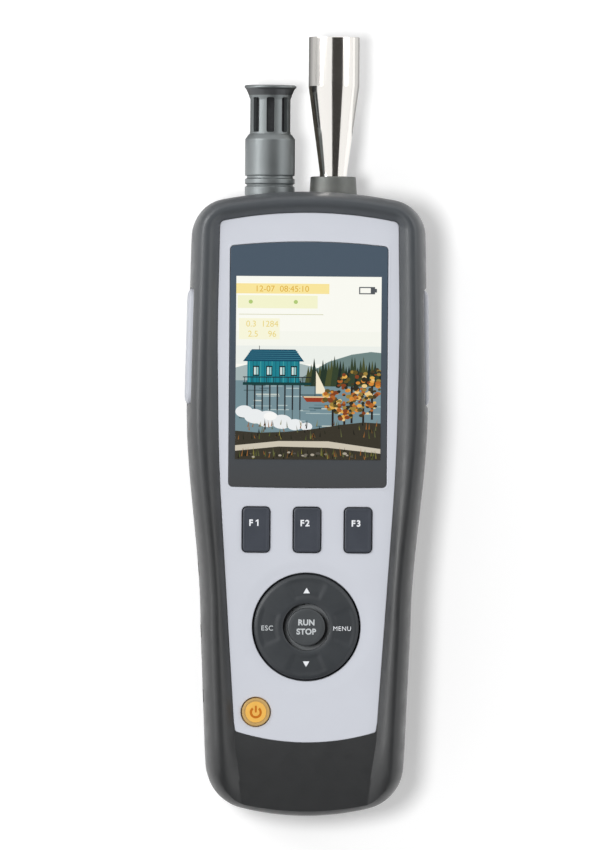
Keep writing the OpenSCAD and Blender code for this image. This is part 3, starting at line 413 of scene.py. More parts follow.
class Look:
    """A node material: a shader, and the textures that are added to it one by one."""

    def __init__(self, name, colour, rough, metal=0, spec=0.5, coat=0):
        self.mat = bpy.data.materials.new(name)
        self.mat.use_nodes = True
        self.tree = self.mat.node_tree
        self.colour, self.rough, self.normal = srgb(*colour), rough, None
        self.drive({"Base Color": self.colour, "Roughness": rough, "Metallic": metal, "Specular IOR Level": spec,
            "Coat Weight": coat, "Coat Roughness": 0.05})
        self.place = self.tree.nodes.new("ShaderNodeTexCoord").outputs["Object"]

    def drive(self, inputs):
        plug(self.tree, self.tree.nodes["Principled BSDF"], inputs)
        return self

    def texture(self, size, stretch=(1, 1, 1), detail=2, kind=NOISE):
        """A noise with features of about size millimetres."""
        mapping = add_node(self.tree, "ShaderNodeMapping", {"Scale": stretch, "Vector": self.place})
        inputs = {"Scale": 1 / (size * MM), "Vector": mapping.outputs["Vector"]}
        if kind == NOISE:
            inputs.update({"Detail": detail, "Roughness": 0.55})
        return add_node(self.tree, kind, inputs).outputs[0]

    def spread(self, source, low, high, out_low=0, out_high=1):
        return add_node(self.tree, "ShaderNodeMapRange",
            {0: source, 1: low, 2: high, 3: out_low, 4: out_high}).outputs[0]

    def blended(self, share, a, b):
        """The colour runs from a to b with share."""
        blend = add_node(self.tree, "ShaderNodeMix", {0: share, 6: a, 7: b}, data_type="RGBA")
        return self.drive({"Base Color": blend.outputs[2]})

    def mottled(self, size, amount):
        """The colour wanders by a share of itself."""
        dark, light = (tuple(min(1, c * k) for c in self.colour[:3]) + (1,) for k in (1 - amount, 1 + amount))
        return self.blended(self.spread(self.texture(size), 0.3, 0.7), dark, light)

    def graded(self, far_colour, y0, y1):
        """The colour runs from its own at y0 to far_colour at y1, which are in metres in the frame."""
        split = add_node(self.tree, "ShaderNodeSeparateXYZ", {0: self.place})
        return self.blended(self.spread(split.outputs[1], y0, y1), self.colour, srgb(*far_colour))

    def worn(self, size, amount):
        """The roughness wanders."""
        low, high = max(0.02, self.rough - amount), min(1, self.rough + amount)
        return self.drive({"Roughness": self.spread(self.texture(size, detail=4), 0.3, 0.7, low, high)})

    def grained(self, size, depth, stretch=(1, 1, 1), kind=NOISE):
        """Relief of the surface, depth in millimetres."""
        inputs = {"Strength": 1, "Distance": depth * MM, "Height": self.texture(size, stretch, kind=kind)}
        if self.normal:
            inputs["Normal"] = self.normal
        self.normal = add_node(self.tree, "ShaderNodeBump", inputs).outputs["Normal"]
        return self.drive({"Normal": self.normal})

    def edged(self, radius):
        """Softens sharp edges in the shading."""
        self.normal = add_node(self.tree, "ShaderNodeBevel", {"Radius": radius * MM}, samples=4).outputs["Normal"]
        return self.drive({"Normal": self.normal})

    def glowing(self, colour, strength):
        return self.drive({"Emission Color": srgb(*colour), "Emission Strength": strength})


# The looks of the record's material slots, and further ones
LOOKS = {
    # the rubber's colour runs from dark at the grip and foot to lighter and bluer at the head: painted light and
    # shade, as the light falls from the top
    "rubber": Look("rubber_grip", (45, 46, 47), 0.4, spec=0.6).edged(0.3).grained(0.35, 0.02).grained(2.2, 0.02)
    .graded((71, 75, 79), -0.03, 0.08).worn(5, 0.06),
    "light_shell": Look("shell_plastic", (197, 200, 208), 0.42, spec=0.35).edged(0.2).grained(0.3, 0.006)
    .mottled(14, 0.012).worn(9, 0.06),
    # the lens: a grey tint, with a painted reflection that runs lighter and bluer towards the top
    "lens_glass": Look("lens_painted_reflection", (70, 71, 72), 0.05, spec=0.4).graded((73, 86, 99), -0.02, 0.045)
    .worn(12, 0.015),
    "key_plastic": Look("key_plastic", (60, 64, 72), 0.42, spec=0.4).edged(0.2).grained(0.25, 0.006)
    .mottled(6, 0.05).worn(4, 0.06),
    "power_plastic": Look("power_plastic", (228, 176, 84), 0.38, spec=0.35).grained(0.25, 0.005)
    .mottled(3, 0.04).worn(3, 0.05),
    "dark_plastic": Look("guard_plastic", (128, 133, 134), 0.4, metal=0.72).edged(0.15).grained(0.3, 0.0015)
    .mottled(6, 0.03).worn(6, 0.03),
    "collar_metal": Look("collar_metal", (112, 114, 111), 0.52, metal=0.6).grained(0.2, 0.002, (1, 0.1, 1))
    .mottled(4, 0.06).worn(3, 0.06),
    "polished_steel": Look("polished_steel", (244, 241, 236), 0.12, metal=1)
    .grained(0.15, 0.0006, (1, 0.05, 1)).worn(6, 0.025),
    "screw_steel": Look("screw_steel", (150, 152, 155), 0.3, metal=1).edged(0.1).grained(0.2, 0.004).worn(2, 0.08),
    "brass": Look("brass", (196, 164, 96), 0.28, metal=1).edged(0.1).grained(0.25, 0.004).worn(2, 0.08),
    "circuit_board": Look("circuit_board", (26, 72, 52), 0.35).grained(1.2, 0.02, kind=CELLS)
    .mottled(3, 0.2).worn(3, 0.08),
    "black_plastic": Look("black_plastic", (34, 35, 37), 0.45).edged(0.15).grained(0.3, 0.01)
    .mottled(5, 0.1).worn(4, 0.08),
    "silicone": Look("silicone_mat", (128, 131, 133), 0.6).grained(0.4, 0.01).mottled(7, 0.05),
    "clear_tube": Look("clear_tube", (200, 200, 188), 0.2).grained(1.5, 0.01).mottled(4, 0.05),
    "cell_wrap": Look("cell_wrap", (46, 92, 160), 0.3).grained(3, 0.02).mottled(8, 0.08)}
NAV, RUN = (Look(name, colour, 0.42, spec=0.4).grained(0.25, 0.006).mottled(6, 0.05).worn(4, 0.06)
    for name, colour in (("nav_plastic", (54, 57, 60)), ("run_plastic", (66, 69, 71))))
POWER_MARK = Look("power_mark", (184, 104, 18), 0.45, spec=0.3).mottled(2, 0.06)
POWER_RING = Look("power_ring", (188, 154, 96), 0.42, spec=0.35).mottled(2, 0.05)
LEGEND = Look("legend_ink", (226, 228, 232), 0.5).mottled(1, 0.04)
LEGEND_DIM = Look("legend_ink_nav", (186, 190, 192), 0.5).mottled(1, 0.05)
# painted shade for the guard's flare under its lip
GUARD_LIP_SHADE = Look("guard_lip_shade", (84, 86, 88), 0.34, metal=0.6).grained(0.3, 0.006).mottled(5, 0.05).worn(4, 0.06)
NODE_LOOKS = {"camera_window": Look("camera_glass", (22, 26, 32), 0.06, coat=1).mottled(4, 0.1).worn(5, 0.02),
    "sensor_filter": Look("filter_mesh", (46, 47, 49), 0.6, spec=0.3).grained(0.35, 0.06, kind=CELLS)
    .mottled(1, 0.2)}


# ---- Rubber cover ----

def rubber_blank():
    levels = []
    for a in quarter(BACK_STEPS):
        d = BACK_EDGE_W * (1 - sin(a))
        levels.append(at_z(body_half(d, d), BACK_EDGE_H * (1 - cos(a))))
    for a in quarter(EDGE_STEPS):
        d = 1 - cos(a)
        levels.append([(x, y, mix(ROUND_Z, crest_z(y), sin(a)))
            for x, y in body_half(EDGE_W * d, EDGE_END_W * d)])
    return stack(levels)


def well():
    """The space between the crests, from the front panel up."""
    head_in, side_in = EDGE_END_W + CREST_FLAT, EDGE_W + CREST_FLAT
    loops = []
    for t in shares(8):
        def half_w(y):
            return mix(chin_half_w(y), body_half_w(y) - side_in, t)

        high = mix(BODY_LEN - PANEL_TOP + PANEL_SEAM, BODY_LEN - head_in, t)
        corner_r = mix(PANEL_CORNER_R, HEAD_CORNER_R - EDGE_W, t)
        head = arched_end(half_w(high - corner_r), mix(PANEL_ARCH_R, HEAD_ARCH_R - head_in, t), corner_r)
        y1 = high - head[0][1]
        n = SIDE_STEPS + CORNER_STEPS
        half = [(0, -2), (half_w(0), -1)]  # the well runs out over the foot
        half += [(half_w(y), y) for y in (mix(0, y1, k) for k in shares(n + 1)[:-1])]
        half += [(x, high - d) for x, d in head]
        rise = sin(RIGHT_ANGLE * t)
        loops.append([(x, y, mix(chin_z(max(0, y)), crest_z(y), rise)) for x, y in half])
    loops.append([(x, y, z + 1) for x, y, z in loops[-1]])
    return stack(loops)


def window_cutter(side):
    """A rounded bar through the cover's side at the insert's place."""
    loop = pad(WINDOW_LEN, WINDOW_H, WINDOW_R, WINDOW_Y, PARTING_Z)
    return closed_loft([[(side * x, y, z) for y, z in loop] for x in (HEAD_HALF_W - 7, HEAD_HALF_W + 1)])


def hollow():
    """What the hard shells fill, below the lips."""
    half = body_half(RUBBER_T, RUBBER_T)
    top = [(x, y, min(FRONT_Z, chin_z(max(0, y))) - LIP_T) for x, y in half]
    return stack([at_z(half, RIM_H + LIP_T), top])


def port_cutters():
    mouths = pad(USB_W, USB_H, 0.8, USB_X, PORT_Z + 2), circle(JACK_R, JACK_X, PORT_Z + 4, 48)
    return [closed_loft([[(x, y, z) for x, z in mouth] for y in (-1, PORT_DEPTH)]) for mouth in mouths]


def relief_cutter(side):
    """The step in the rubber around an insert, open to the front, with soft ends."""
    soft, out, over = 1.6, -0.25, 0.4  # length of a soft end; start outside the rubber and before it
    half = WINDOW_LEN / 2 + RELIEF_W
    low = PARTING_Z - WINDOW_H / 2 - RELIEF_W
    rows = [(-half - over, out)] + [(-half + soft * k / 6, ramp(k / 6)) for k in range(7)]
    rows += [(-y, t) for y, t in reversed(rows)]
    heights = [(low - over, out)] + [(low + soft * k / 5, ramp(k / 5)) for k in range(6)] + [(BODY_DEPTH + 1, 1)]
    loops = []
    for z, deep in heights:
        inner = [(side * (body_half_w(WINDOW_Y + y) - RELIEF_T * min(t, deep)), WINDOW_Y + y, z) for y, t in rows]
        outer = [(side * (HEAD_HALF_W + 2), WINDOW_Y + rows[k][0], z) for k in (-1, 0)]
        loops.append(inner + outer)
    bm = closed_loft(loops)
    bmesh.ops.recalc_face_normals(bm, faces=bm.faces)
    return bm


def make_rubber():
    cover = finish_mesh("rubber_grip_cover", rubber_blank(), "root", "rubber", ("rubber_cover",))
    sides = (-1, 1)
    grooves = [circle(GROOVE_R, side * (body_half_w(y) + GROOVE_R - GROOVE_T), y, 64)
        for y in GROOVES for side in sides]
    cut(cover, hollow(), well(), slab(panel_half(), FRONT_Z - LIP_T - 0.5, FRONT_Z + 0.5),
        slab(body_half(BACK_PANEL_IN, BACK_PANEL_IN), -1, RIM_H + LIP_T + 0.5),
        *map(window_cutter, sides), *map(relief_cutter, sides),
        *[closed_loft([at_z(loop, BACK_EDGE_H), at_z(loop, ROUND_Z - 1)]) for loop in grooves],
        stem_hole(SENSOR_X, SLEEVE_R + 0.1, STEM_SEAT), stem_hole(INLET_X, COLLAR_R + 0.5, STEM_SEAT),
        stem_hole(SENSOR_X, BASE_NECK_R, BODY_LEN - 7), stem_hole(INLET_X, COLLAR_NECK_R, BODY_LEN - 7),
        *port_cutters())
    smooth(cover, 32)
    even_normals(cover)


def make_insert(side, name):
    """A bar with a softly domed face and long round ends."""
    dome, edge, inside = 1.3, 2.6, -6
    steps = [(inside, 0), (INSERT_PROUD - dome, 0)]
    steps += [(INSERT_PROUD - dome * (1 - sin(a)), edge * (1 - cos(a))) for a in quarter(8)[1:]]
    loops = []
    for out, inset in steps:
        loop = pad(WINDOW_LEN - 2 * inset, WINDOW_H - 2 * inset, 3.4 - inset * 0.8, WINDOW_Y, PARTING_Z, 10)
        loops.append([(side * ((body_half_w(y) if out > inside else HEAD_HALF_W) + out), y, z) for y, z in loop])
    even_piece(name + "_cap", closed_loft(loops), "root", "light_shell", name, angle=35)


make_rubber()
make_insert(-1, "side_insert_left")
make_insert(1, "side_insert_right")


# ---- Front shell and panel ----

def filled(bm, loops, z):
    """Flat faces inside the first loop and outside the others."""
    edges = []
    for loop in loops:
        row = [bm.verts.new(to_frame((x, y, z))) for x, y in loop]
        edges += [bm.edges.new((a, b)) for a, b in zip(row, row[1:] + row[:1])]
    bmesh.ops.triangle_fill(bm, use_beauty=True, use_dissolve=False, edges=edges, normal=(0, 0, 1))


def make_panel():
    bm = bmesh.new()
    low, edge = -1.6, 0.3  # heights are over the panel's face
    outer = [(0, low), (0, -edge), (edge * 0.3, -edge * 0.3), (edge, 0)]
    lofted(bm, [mirrored(at_z(panel_half(d), FRONT_Z + z)) for d, z in outer])
    # a low bead round the lens
    bead = [(0.1, low), (0.1, -0.05), (0.2, 0.12), (0.45, 0.2), (0.8, 0.1), (LENS_BEAD_W, 0)]
    lofted(bm, [mirrored(at_z(lens_half(d), FRONT_Z + z)) for d, z in bead])
    holes = [mirrored(panel_half(edge)), mirrored(lens_half(LENS_BEAD_W))]
    # rolled edges of the keys' openings
    rolled = [(-0.02, low), (-0.02, -edge), (0.1, -0.08), (edge, 0)]
    openings = [lambda grow, i=i: f_key_loop(i, grow) for i in (-1, 0, 1)]
    openings.append(lambda grow: circle(POWER_R + grow, POWER_X, POWER_Y))
    for opening in openings:
        lofted(bm, [at_z(opening(KEY_GAP + d), FRONT_Z + z) for d, z in rolled])
        holes.append(opening(KEY_GAP + edge))
    # the panel dips a little towards the navigation ring
    open_r, dish_r = NAV_R + NAV_GAP, NAV_R + NAV_DISH_W
    dip = [(open_r - 0.02, low), (open_r - 0.02, -0.6), (open_r + 0.12, -0.38)]
    dip += [(mix(open_r + 0.3, dish_r, t), -0.35 * (1 - ramp(t))) for t in shares(10)]
    lofted(bm, [at_z(circle(r, 0, NAV_Y, 128), FRONT_Z + z) for r, z in dip])
    holes.append(circle(dish_r, 0, NAV_Y, 128))
    filled(bm, holes, FRONT_Z)
    even_piece("front_panel", bm, "root", "light_shell", "front_housing")


def make_front_shell():
    """The rest of the front housing, as the CAD has it, below the panel's face."""
    bm = bmesh.new()
    bm.from_mesh(NODES["front_housing"].data)
    bmesh.ops.remove_doubles(bm, verts=bm.verts, dist=1e-6)
    bmesh.ops.bisect_plane(bm, geom=bm.verts[:] + bm.edges[:] + bm.faces[:],
        plane_co=(0, 0, (FRONT_Z - 1.2) * MM), plane_no=(0, 0, 1), clear_outer=True)
    finish_mesh("front_shell", bm, "root", "light_shell", ("front_housing",), angle=30)


make_panel()
make_front_shell()


# ---- Lens and picture ----

def make_lens():
    edge = [(0, -LENS_T), (0, -0.25), (-0.07, -0.07), (-0.25, 0)]
    bm = stack([at_z(lens_half(d), LENS_Z + z) for d, z in edge])
    even_piece("display_window", bm, "root", "lens_glass", "display_lens")


make_lens()

LAYER = 0.005  # height of one layer of the picture over the next


def lit(name, colour, light):
    """A look of the display, which gives light of its own."""
    return Look(name, colour, 0.2, spec=0.3).glowing(light, 0.86)


class Picture:
    """Flat shapes in layers on the screen; u and v run from 0 to 1 across and up it."""

    def __init__(self):
        self.bm, self.looks, self.layer = bmesh.new(), {}, 1

    def colour(self, rgb):
        if rgb not in self.looks:
            dark = tuple(c * 0.35 for c in rgb)
            self.looks[rgb] = lit("lcd_%02d" % len(self.looks), dark, rgb).worn(8, 0.05)
        return list(self.looks).index(rgb)

    def shape(self, points, rgb):
        z = LENS_Z + LAYER * self.layer
        face = self.bm.faces.new([self.bm.verts.new(to_frame((*on_screen(u, v), z))) for u, v in points])
        face.normal_update()
        if face.normal.z < 0:
            face.normal_flip()
        face.material_index = self.colour(rgb)

    def rect(self, u0, v0, u1, v1, rgb):
        self.shape([(u0, v0), (u1, v0), (u1, v1), (u0, v1)], rgb)

    def disc(self, u, v, r, rgb, squash=1, steps=28):
        tall = squash * (SCREEN_W / SCREEN_LEN) * r
        self.shape([(u + r * x, v + tall * y) for x, y in circle(1, steps=steps)], rgb)

    def up(self, steps=1):
        self.layer += steps

    def done(self):
        mesh = bpy.data.meshes.new("lcd_picture")
        self.bm.to_mesh(mesh)
        self.bm.free()
        obj = new_object("lcd_picture", mesh)
        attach(obj, "root")
        for look in self.looks.values():
            mesh.materials.append(look.mat)


def on_screen(u, v):
    return SCREEN_LEFT + u * SCREEN_W, SCREEN_LOW + v * SCREEN_LEN


PAPER = (252, 252, 244)
STREAKS = ((84, 112, 120), (176, 194, 194), (70, 92, 96), (206, 214, 206))
FIRS = ((38, 54, 42), (52, 66, 46), (30, 42, 38), (74, 80, 46))
LEAVES = ((178, 102, 44), (214, 138, 56), (132, 66, 34), (96, 82, 38), (228, 176, 84), (70, 58, 36),
    (158, 130, 60), (46, 44, 32), (236, 204, 140))
GRASS = ((34, 38, 26), (84, 92, 44), (128, 122, 58), (150, 98, 48), (24, 24, 20), (104, 76, 42), (96, 100, 62))
STONES = ((120, 114, 102), (172, 164, 148), (84, 80, 72))


def paint_far_shore(p):
    p.rect(0, 0.1, 1, 1, PAPER)
    p.up()
    p.rect(0, 0.52, 1, 0.62, (238, 242, 236))
    p.rect(0, 0.62, 1, 0.7, (248, 249, 240))
    p.up()
    # hills
    p.shape([(0, 0.4), (0, 0.5), (0.14, 0.53), (0.3, 0.545), (0.46, 0.52), (0.62, 0.49), (0.62, 0.4)],
        (168, 184, 184))
    p.up()
    p.shape([(0.36, 0.4), (0.5, 0.47), (0.64, 0.535), (0.8, 0.575), (0.93, 0.59), (1, 0.585), (1, 0.4)],
        (112, 134, 132))
    p.up()
    # water and its streaks
    p.rect(0, 0.13, 1, 0.43, (118, 144, 152))
    p.up()
    for _ in range(46):
        u, v, w = uniform(0, 0.9), uniform(0.17, 0.42), uniform(0.04, 0.16)
        p.rect(u, v, min(1, u + w), v + uniform(0.003, 0.007), choice(STREAKS))
        p.up(0.3)
    p.up()
    # pointed trees behind the shore
    for k in range(26):
        u, h = 0.5 + 0.5 * k / 25, uniform(0.09, 0.17)
        p.shape([(max(0, u - 0.028), 0.4), (min(1, u + 0.028), 0.4), (min(1, u), 0.4 + h)], choice(FIRS))
        p.up(0.3)
    p.up()


def paint_shed(p):
    """A boat shed on posts at the left."""
    for k in range(8):
        u = 0.08 + 0.052 * k
        p.rect(u - 0.005, 0.27, u + 0.005, 0.43, (38, 40, 42))
        p.rect(u - 0.003, 0.22, u + 0.003, 0.27, (78, 92, 94))
    p.up()
    p.rect(0.08, 0.42, 0.44, 0.535, (30, 128, 142))
    p.rect(0.05, 0.405, 0.52, 0.42, (24, 62, 62))
    p.up()
    for k in range(14):
        u = 0.092 + 0.026 * k
        p.rect(u, 0.42, u + 0.004, 0.535, (20, 88, 102) if k % 3 else (74, 168, 166))
    p.up()
    p.shape([(0.05, 0.535), (0.11, 0.6), (0.41, 0.6), (0.47, 0.535)], (22, 74, 98))
    p.up()
    for k in range(5):
        p.rect(0.07 + 0.006 * k, 0.545 + 0.011 * k, 0.45 - 0.006 * k, 0.548 + 0.011 * k, (66, 132, 150))
    p.rect(0.16, 0.6, 0.164, 0.62, (60, 60, 58))
    windows, railing = (0.12, 0.21, 0.3, 0.38), (34, 38, 40)
    for u in windows:
        p.rect(u, 0.455, u + 0.042, 0.51, (24, 40, 44))
    p.up()
    for u in windows:
        p.rect(u + 0.006, 0.462, u + 0.019, 0.503, (214, 230, 226))
        p.rect(u + 0.023, 0.462, u + 0.036, 0.503, (150, 196, 196))
    for k in range(10):
        u = 0.06 + 0.05 * k
        p.rect(u, 0.42, u + 0.004, 0.448, railing)
    p.rect(0.05, 0.446, 0.52, 0.451, railing)
    p.up()


def paint_boat(p):
    p.shape([(0.49, 0.315), (0.46, 0.345), (0.66, 0.345), (0.63, 0.315)], (150, 58, 34))
    p.rect(0.545, 0.345, 0.549, 0.5, (40, 38, 36))
    p.up()
    p.shape([(0.553, 0.36), (0.553, 0.485), (0.63, 0.36)], (242, 232, 206))
    p.rect(0.47, 0.338, 0.65, 0.345, (236, 206, 160))
    p.up()


def paint_trees(p):
    """Leafy trees at the right; each crown is made of small discs in twelve thin layers."""
    for u, v, r in ((0.94, 0.42, 0.1), (0.8, 0.4, 0.1), (0.67, 0.33, 0.07), (0.88, 0.3, 0.09), (0.75, 0.27, 0.07)):
        p.rect(u - 0.007, v - 0.2, u + 0.007, v, (40, 32, 28))
        p.up(0.5)
        low = p.layer
        for k in range(46):
            a, d = uniform(0, TAU), r * sqrt(RANDOM.random())
            q = uniform(0.009, 0.02)
            p.layer = low + 0.3 * (k % 12)
            p.disc(min(1 - q, u + d * cos(a)), v + 0.8 * d * sin(a), q, choice(LEAVES), uniform(0.6, 1), 9)
        p.layer = low + 3.6


def paint_mist(p):
    for u, v, r in ((0.06, 0.26, 0.06), (0.13, 0.235, 0.07), (0.22, 0.22, 0.08), (0.32, 0.205, 0.07),
            (0.41, 0.19, 0.055), (0.49, 0.18, 0.04)):
        p.disc(max(r, u), v, r, (236, 239, 240), 0.7)
        p.up(0.4)
    p.disc(0.24, 0.235, 0.045, (250, 250, 248), 0.6)
    p.up()


def paint_near_bank(p):
    """A dark bank with a path, grass and stones."""
    p.shape([(0, 0), (0, 0.155), (0.16, 0.145), (0.34, 0.15), (0.52, 0.165), (0.72, 0.19), (0.88, 0.205), (1, 0.2),
        (1, 0)], (58, 54, 44))
    p.up()
    p.shape([(0, 0.045), (0.3, 0.07), (0.64, 0.065), (1, 0.035), (1, 0.06), (0.64, 0.1), (0.3, 0.1), (0, 0.075)],
        (206, 198, 180))
    p.up()
    low = p.layer
    for k in range(150):
        u = uniform(0.01, 0.98)
        v = choice((uniform(0, 0.03), uniform(0.105, 0.19)))
        h, lean = uniform(0.02, 0.05), uniform(-0.012, 0.012)
        p.layer = low + 0.3 * (k % 12)
        p.shape([(u - 0.004, v), (u + 0.004, v), (min(1, max(0, u + lean)), v + h)], choice(GRASS))
    p.layer = low + 4
    for _ in range(16):
        u, v = uniform(0.03, 0.97), uniform(0.012, 0.04)
        p.disc(u, v, uniform(0.008, 0.016), choice(STONES), 0.6, 9)
        p.up(0.2)
    p.up()


def paint_readout(p):
    """A header band, a small table and a battery."""
    case = (84, 88, 92)
    p.rect(0, 0.905, 0.64, 0.96, (252, 232, 158))
    p.rect(0.01, 0.825, 0.56, 0.895, (246, 246, 208))
    p.rect(0.02, 0.655, 0.3, 0.77, (250, 248, 220))
    p.up()
    for u in (0.1, 0.41):
        p.disc(u, 0.86, 0.014, (178, 204, 120))
    p.rect(0.02, 0.79, 0.6, 0.793, (206, 206, 166))
    p.rect(0.845, 0.905, 0.955, 0.945, case)
    p.rect(0.955, 0.915, 0.968, 0.935, case)
    p.up()
    p.rect(0.853, 0.911, 0.925, 0.939, PAPER)
    p.up()


def make_picture():
    """A made-up autumn lake under the readout; gives the height above it for the lettering."""
    p = Picture()
    for paint in (paint_far_shore, paint_shed, paint_boat, paint_trees, paint_mist, paint_near_bank, paint_readout):
        paint(p)
    p.done()
    return LENS_Z + LAYER * (p.layer + 1)


def lettering(name, body, text, x, y, face, size, look, spacing=1, bold=0, slot="key_plastic"):
    """Flat letters in Blender's own typeface, laid on face(x, y); size is the height of a capital."""
    capital, thick, proud = 0.72, 0.02, 0.01  # share of the font's size; thickness of the ink; how high it lies
    curve = bpy.data.curves.new(name, "FONT")
    curve.body, curve.align_x, curve.align_y = text, "CENTER", "CENTER"
    curve.size, curve.extrude, curve.offset = size * MM / capital, thick * MM, bold * MM
    curve.space_character, curve.resolution_u = spacing, 6
    obj = new_object(name + "_curve", curve)
    bpy.context.view_layer.update()
    mesh = evaluated(obj)
    bpy.data.objects.remove(obj)
    xs, ys = [v.co.x for v in mesh.vertices], [v.co.y for v in mesh.vertices]
    mid_x, mid_y = (min(xs) + max(xs)) / 2, (min(ys) + max(ys)) / 2
    for v in mesh.vertices:
        px, py = x + (v.co.x - mid_x) / MM, y + (v.co.y - mid_y) / MM
        v.co = to_frame((px, py, face(px, py) + proud + v.co.z / MM))
    piece = new_object(name, mesh)
    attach(piece, body)
    dress(piece, look)


def raised_mark(name, body, loop, face):
    """A flat sign just above face(x, y)."""
    bm = closed_loft([[(x, y, face(x, y) + up) for x, y in loop] for up in (-0.02, 0.03)])
    finish_mesh(name, bm, body, "key_plastic", looks=[LEGEND], angle=30)


ink_z = make_picture()
HEADER_INK = lit("lcd_header_ink", (80, 62, 20), (226, 178, 62))
READING_INK = lit("lcd_reading_ink", (84, 80, 50), (236, 214, 128))
for name, text, u, v, ink in (("lcd_header", "12-07  08:45:10", 0.32, 0.932, HEADER_INK),
        ("lcd_reading_0", "0.3  1284", 0.18, 0.74, READING_INK),
        ("lcd_reading_1", "2.5    96", 0.18, 0.685, READING_INK)):
    lettering(name, "root", text, *on_screen(u, v), lambda x, y: ink_z, 1.9, ink, slot="lens_glass")


# ---- Keys ----

F_LEGEND_X, F_LEGEND_Y, F_LEGEND_H, F1_HALF_GAP = -0.65, 2.1, 1.9, 0.9
NUMERAL_ONE = ((0.05, -1), (0.47, -1), (0.47, 1), (0.12, 1), (-0.42, 0.62), (-0.42, 0.24), (0.05, 0.5))


def make_f_key(i):
    label, body, edge = "f%d" % (i + 2), "f%d_key" % (i + 2), 0.45
    steps = [(FLANGE_W, FLANGE_Z), (FLANGE_W, FLANGE_Z + FLANGE_T), (0, FLANGE_Z + FLANGE_T), (0, KEY_TOP - edge)]
    steps += [(-edge * (1 - cos(a)), KEY_TOP - edge * (1 - sin(a))) for a in quarter(6)[1:]]
    steps += [(-0.7, KEY_TOP - 0.01), (-0.9, KEY_TOP - 0.05), (-1.15, KEY_TOP - F_KEY_SINK)]
    bm = closed_loft([at_z(f_key_loop(i, grow), z) for grow, z in steps])
    even_piece(label + "_key_cap", bm, body, "key_plastic", "key_" + label)

    def face(x, y):
        return KEY_TOP - F_KEY_SINK
    x, y = i * F_KEY_PITCH + F_LEGEND_X, F_KEY_Y + F_LEGEND_Y
    if i == -1:  # its numeral is a shape of its own, with a plain top
        lettering("f1_legend", body, "F", x - F1_HALF_GAP, y, face, F_LEGEND_H, LEGEND, bold=0.09)
        one = [(x + F1_HALF_GAP + u, y + v) for u, v in NUMERAL_ONE]
        raised_mark("f1_numeral", body, one, face)
    else:
        lettering(label + "_legend", body, label.upper(), x, y, face, F_LEGEND_H, LEGEND, 1.26, 0.09)


for index in (-1, 0, 1):
    make_f_key(index)


def nav_relief(x, y):
    """Four shallow sunken fields, one for each direction: 0 outside them, 1 in them."""
    r, a = hypot(x, y), atan2(y, x)
    band = ramp((r - 8.4) / 1.6) * (1 - ramp((r - 13.6) / 1.8))
    off = min(abs((a - k * TAU / 4 + pi) % TAU - pi) for k in range(4))
    return (1 - ramp((off - 0.34) / 0.16)) * band


def nav_height(t):
    """Height of the ring's face, from its rim at t = 0 to its hole at t = 1."""
    return NAV_TOP - NAV_RIM * (1 - t) ** 2


def nav_face(x, y):
    """Height of the ring's face at (x, y) in the frame of the panel."""
    y -= NAV_Y
    t = (NAV_R - NAV_EDGE_W - hypot(x, y)) / (NAV_R - NAV_HOLE_R - NAV_EDGE_W - NAV_HOLE_EDGE_W)
    return nav_height(min(1, max(0, t))) - NAV_SINK * nav_relief(x, y)


def run_face(x, y):
    """Height of the middle key's dished face."""
    return NAV_TOP - RUN_DISH + RUN_DISH / 2 * min(1, hypot(x, y - NAV_Y) / (RUN_R - RUN_DISH_W))


def make_nav_ring():
    low, flange_top, flange_r = PIVOT_TOP + 0.5, FRONT_Z - LIP_T - WALL - NAV_FLANGE_GAP, NAV_R + FLANGE_W
    rim_r, hole_r = NAV_R - NAV_EDGE_W, NAV_HOLE_R + NAV_HOLE_EDGE_W
    rim = softened([(flange_r, low), (flange_r, flange_top), (NAV_R, flange_top), (NAV_R, nav_height(0) - 0.6),
        (rim_r, nav_height(0))], {3: 1.2}, 8)
    face = [(mix(rim_r, hole_r, t), nav_height(t)) for t in shares(30)[1:]]
    hole = softened([(hole_r, NAV_TOP), (NAV_HOLE_R + 0.9, NAV_TOP + 0.02), (NAV_HOLE_R, NAV_TOP - 0.25),
        (NAV_HOLE_R, FRONT_Z - 1), (NAV_HOLE_R + 0.4, FRONT_Z - 1.4), (NAV_HOLE_R + 0.4, low)],
        {2: 0.3}, 4)[1:]
    bm = lathed(rim + face + hole, 0, y=NAV_Y, steps=192)
    bmesh.ops.remove_doubles(bm, verts=bm.verts, dist=MERGE)
    for v in bm.verts:
        if v.co.z > (FRONT_Z + 0.2) * MM:
            v.co.z -= NAV_SINK * MM * nav_relief(v.co.x / MM, v.co.y / MM - FOOT - NAV_Y)
    even_piece("nav_ring_cap", bm, "nav_key", "key_plastic", "nav_ring", [NAV])


def make_run_key():
    low = MAT_Z + KEY_TRAVEL + 0.3
    profile = softened([(0, low), (RUN_STEM_R, low), (RUN_STEM_R, FRONT_Z - 3), (RUN_R, FRONT_Z - 2),
        (RUN_R, NAV_TOP - 0.1), (RUN_R - RUN_EDGE_W, NAV_TOP),
        (RUN_R - RUN_DISH_W, NAV_TOP - RUN_DISH / 2), (0, NAV_TOP - RUN_DISH)], {4: 0.7, 5: 1}, 6)
    bm = lathed(profile, 0, y=NAV_Y, closed=False)
    even_piece("run_stop_cap", bm, "run_key", "key_plastic", "run_stop_key", [RUN])
    for row, text in enumerate(("RUN", "STOP")):
        lettering("run_legend_%d" % row, "run_key", text, 0, NAV_Y + 1.4 - 2.8 * row, run_face, 1.75, LEGEND_DIM,
            1.04, 0.09)


def triangle_mark(name, x, y, w, h):
    """An arrow on the ring; h is below 0 for one that points down."""
    corners = ((x - w / 2, y - h / 2), (x + w / 2, y - h / 2), (x, y + h / 2))
    loop = [(mix(a[0], b[0], t), mix(a[1], b[1], t))
        for a, b in zip(corners, corners[1:] + corners[:1]) for t in shares(6)[:-1]]
    raised_mark(name, "nav_key", loop, nav_face)


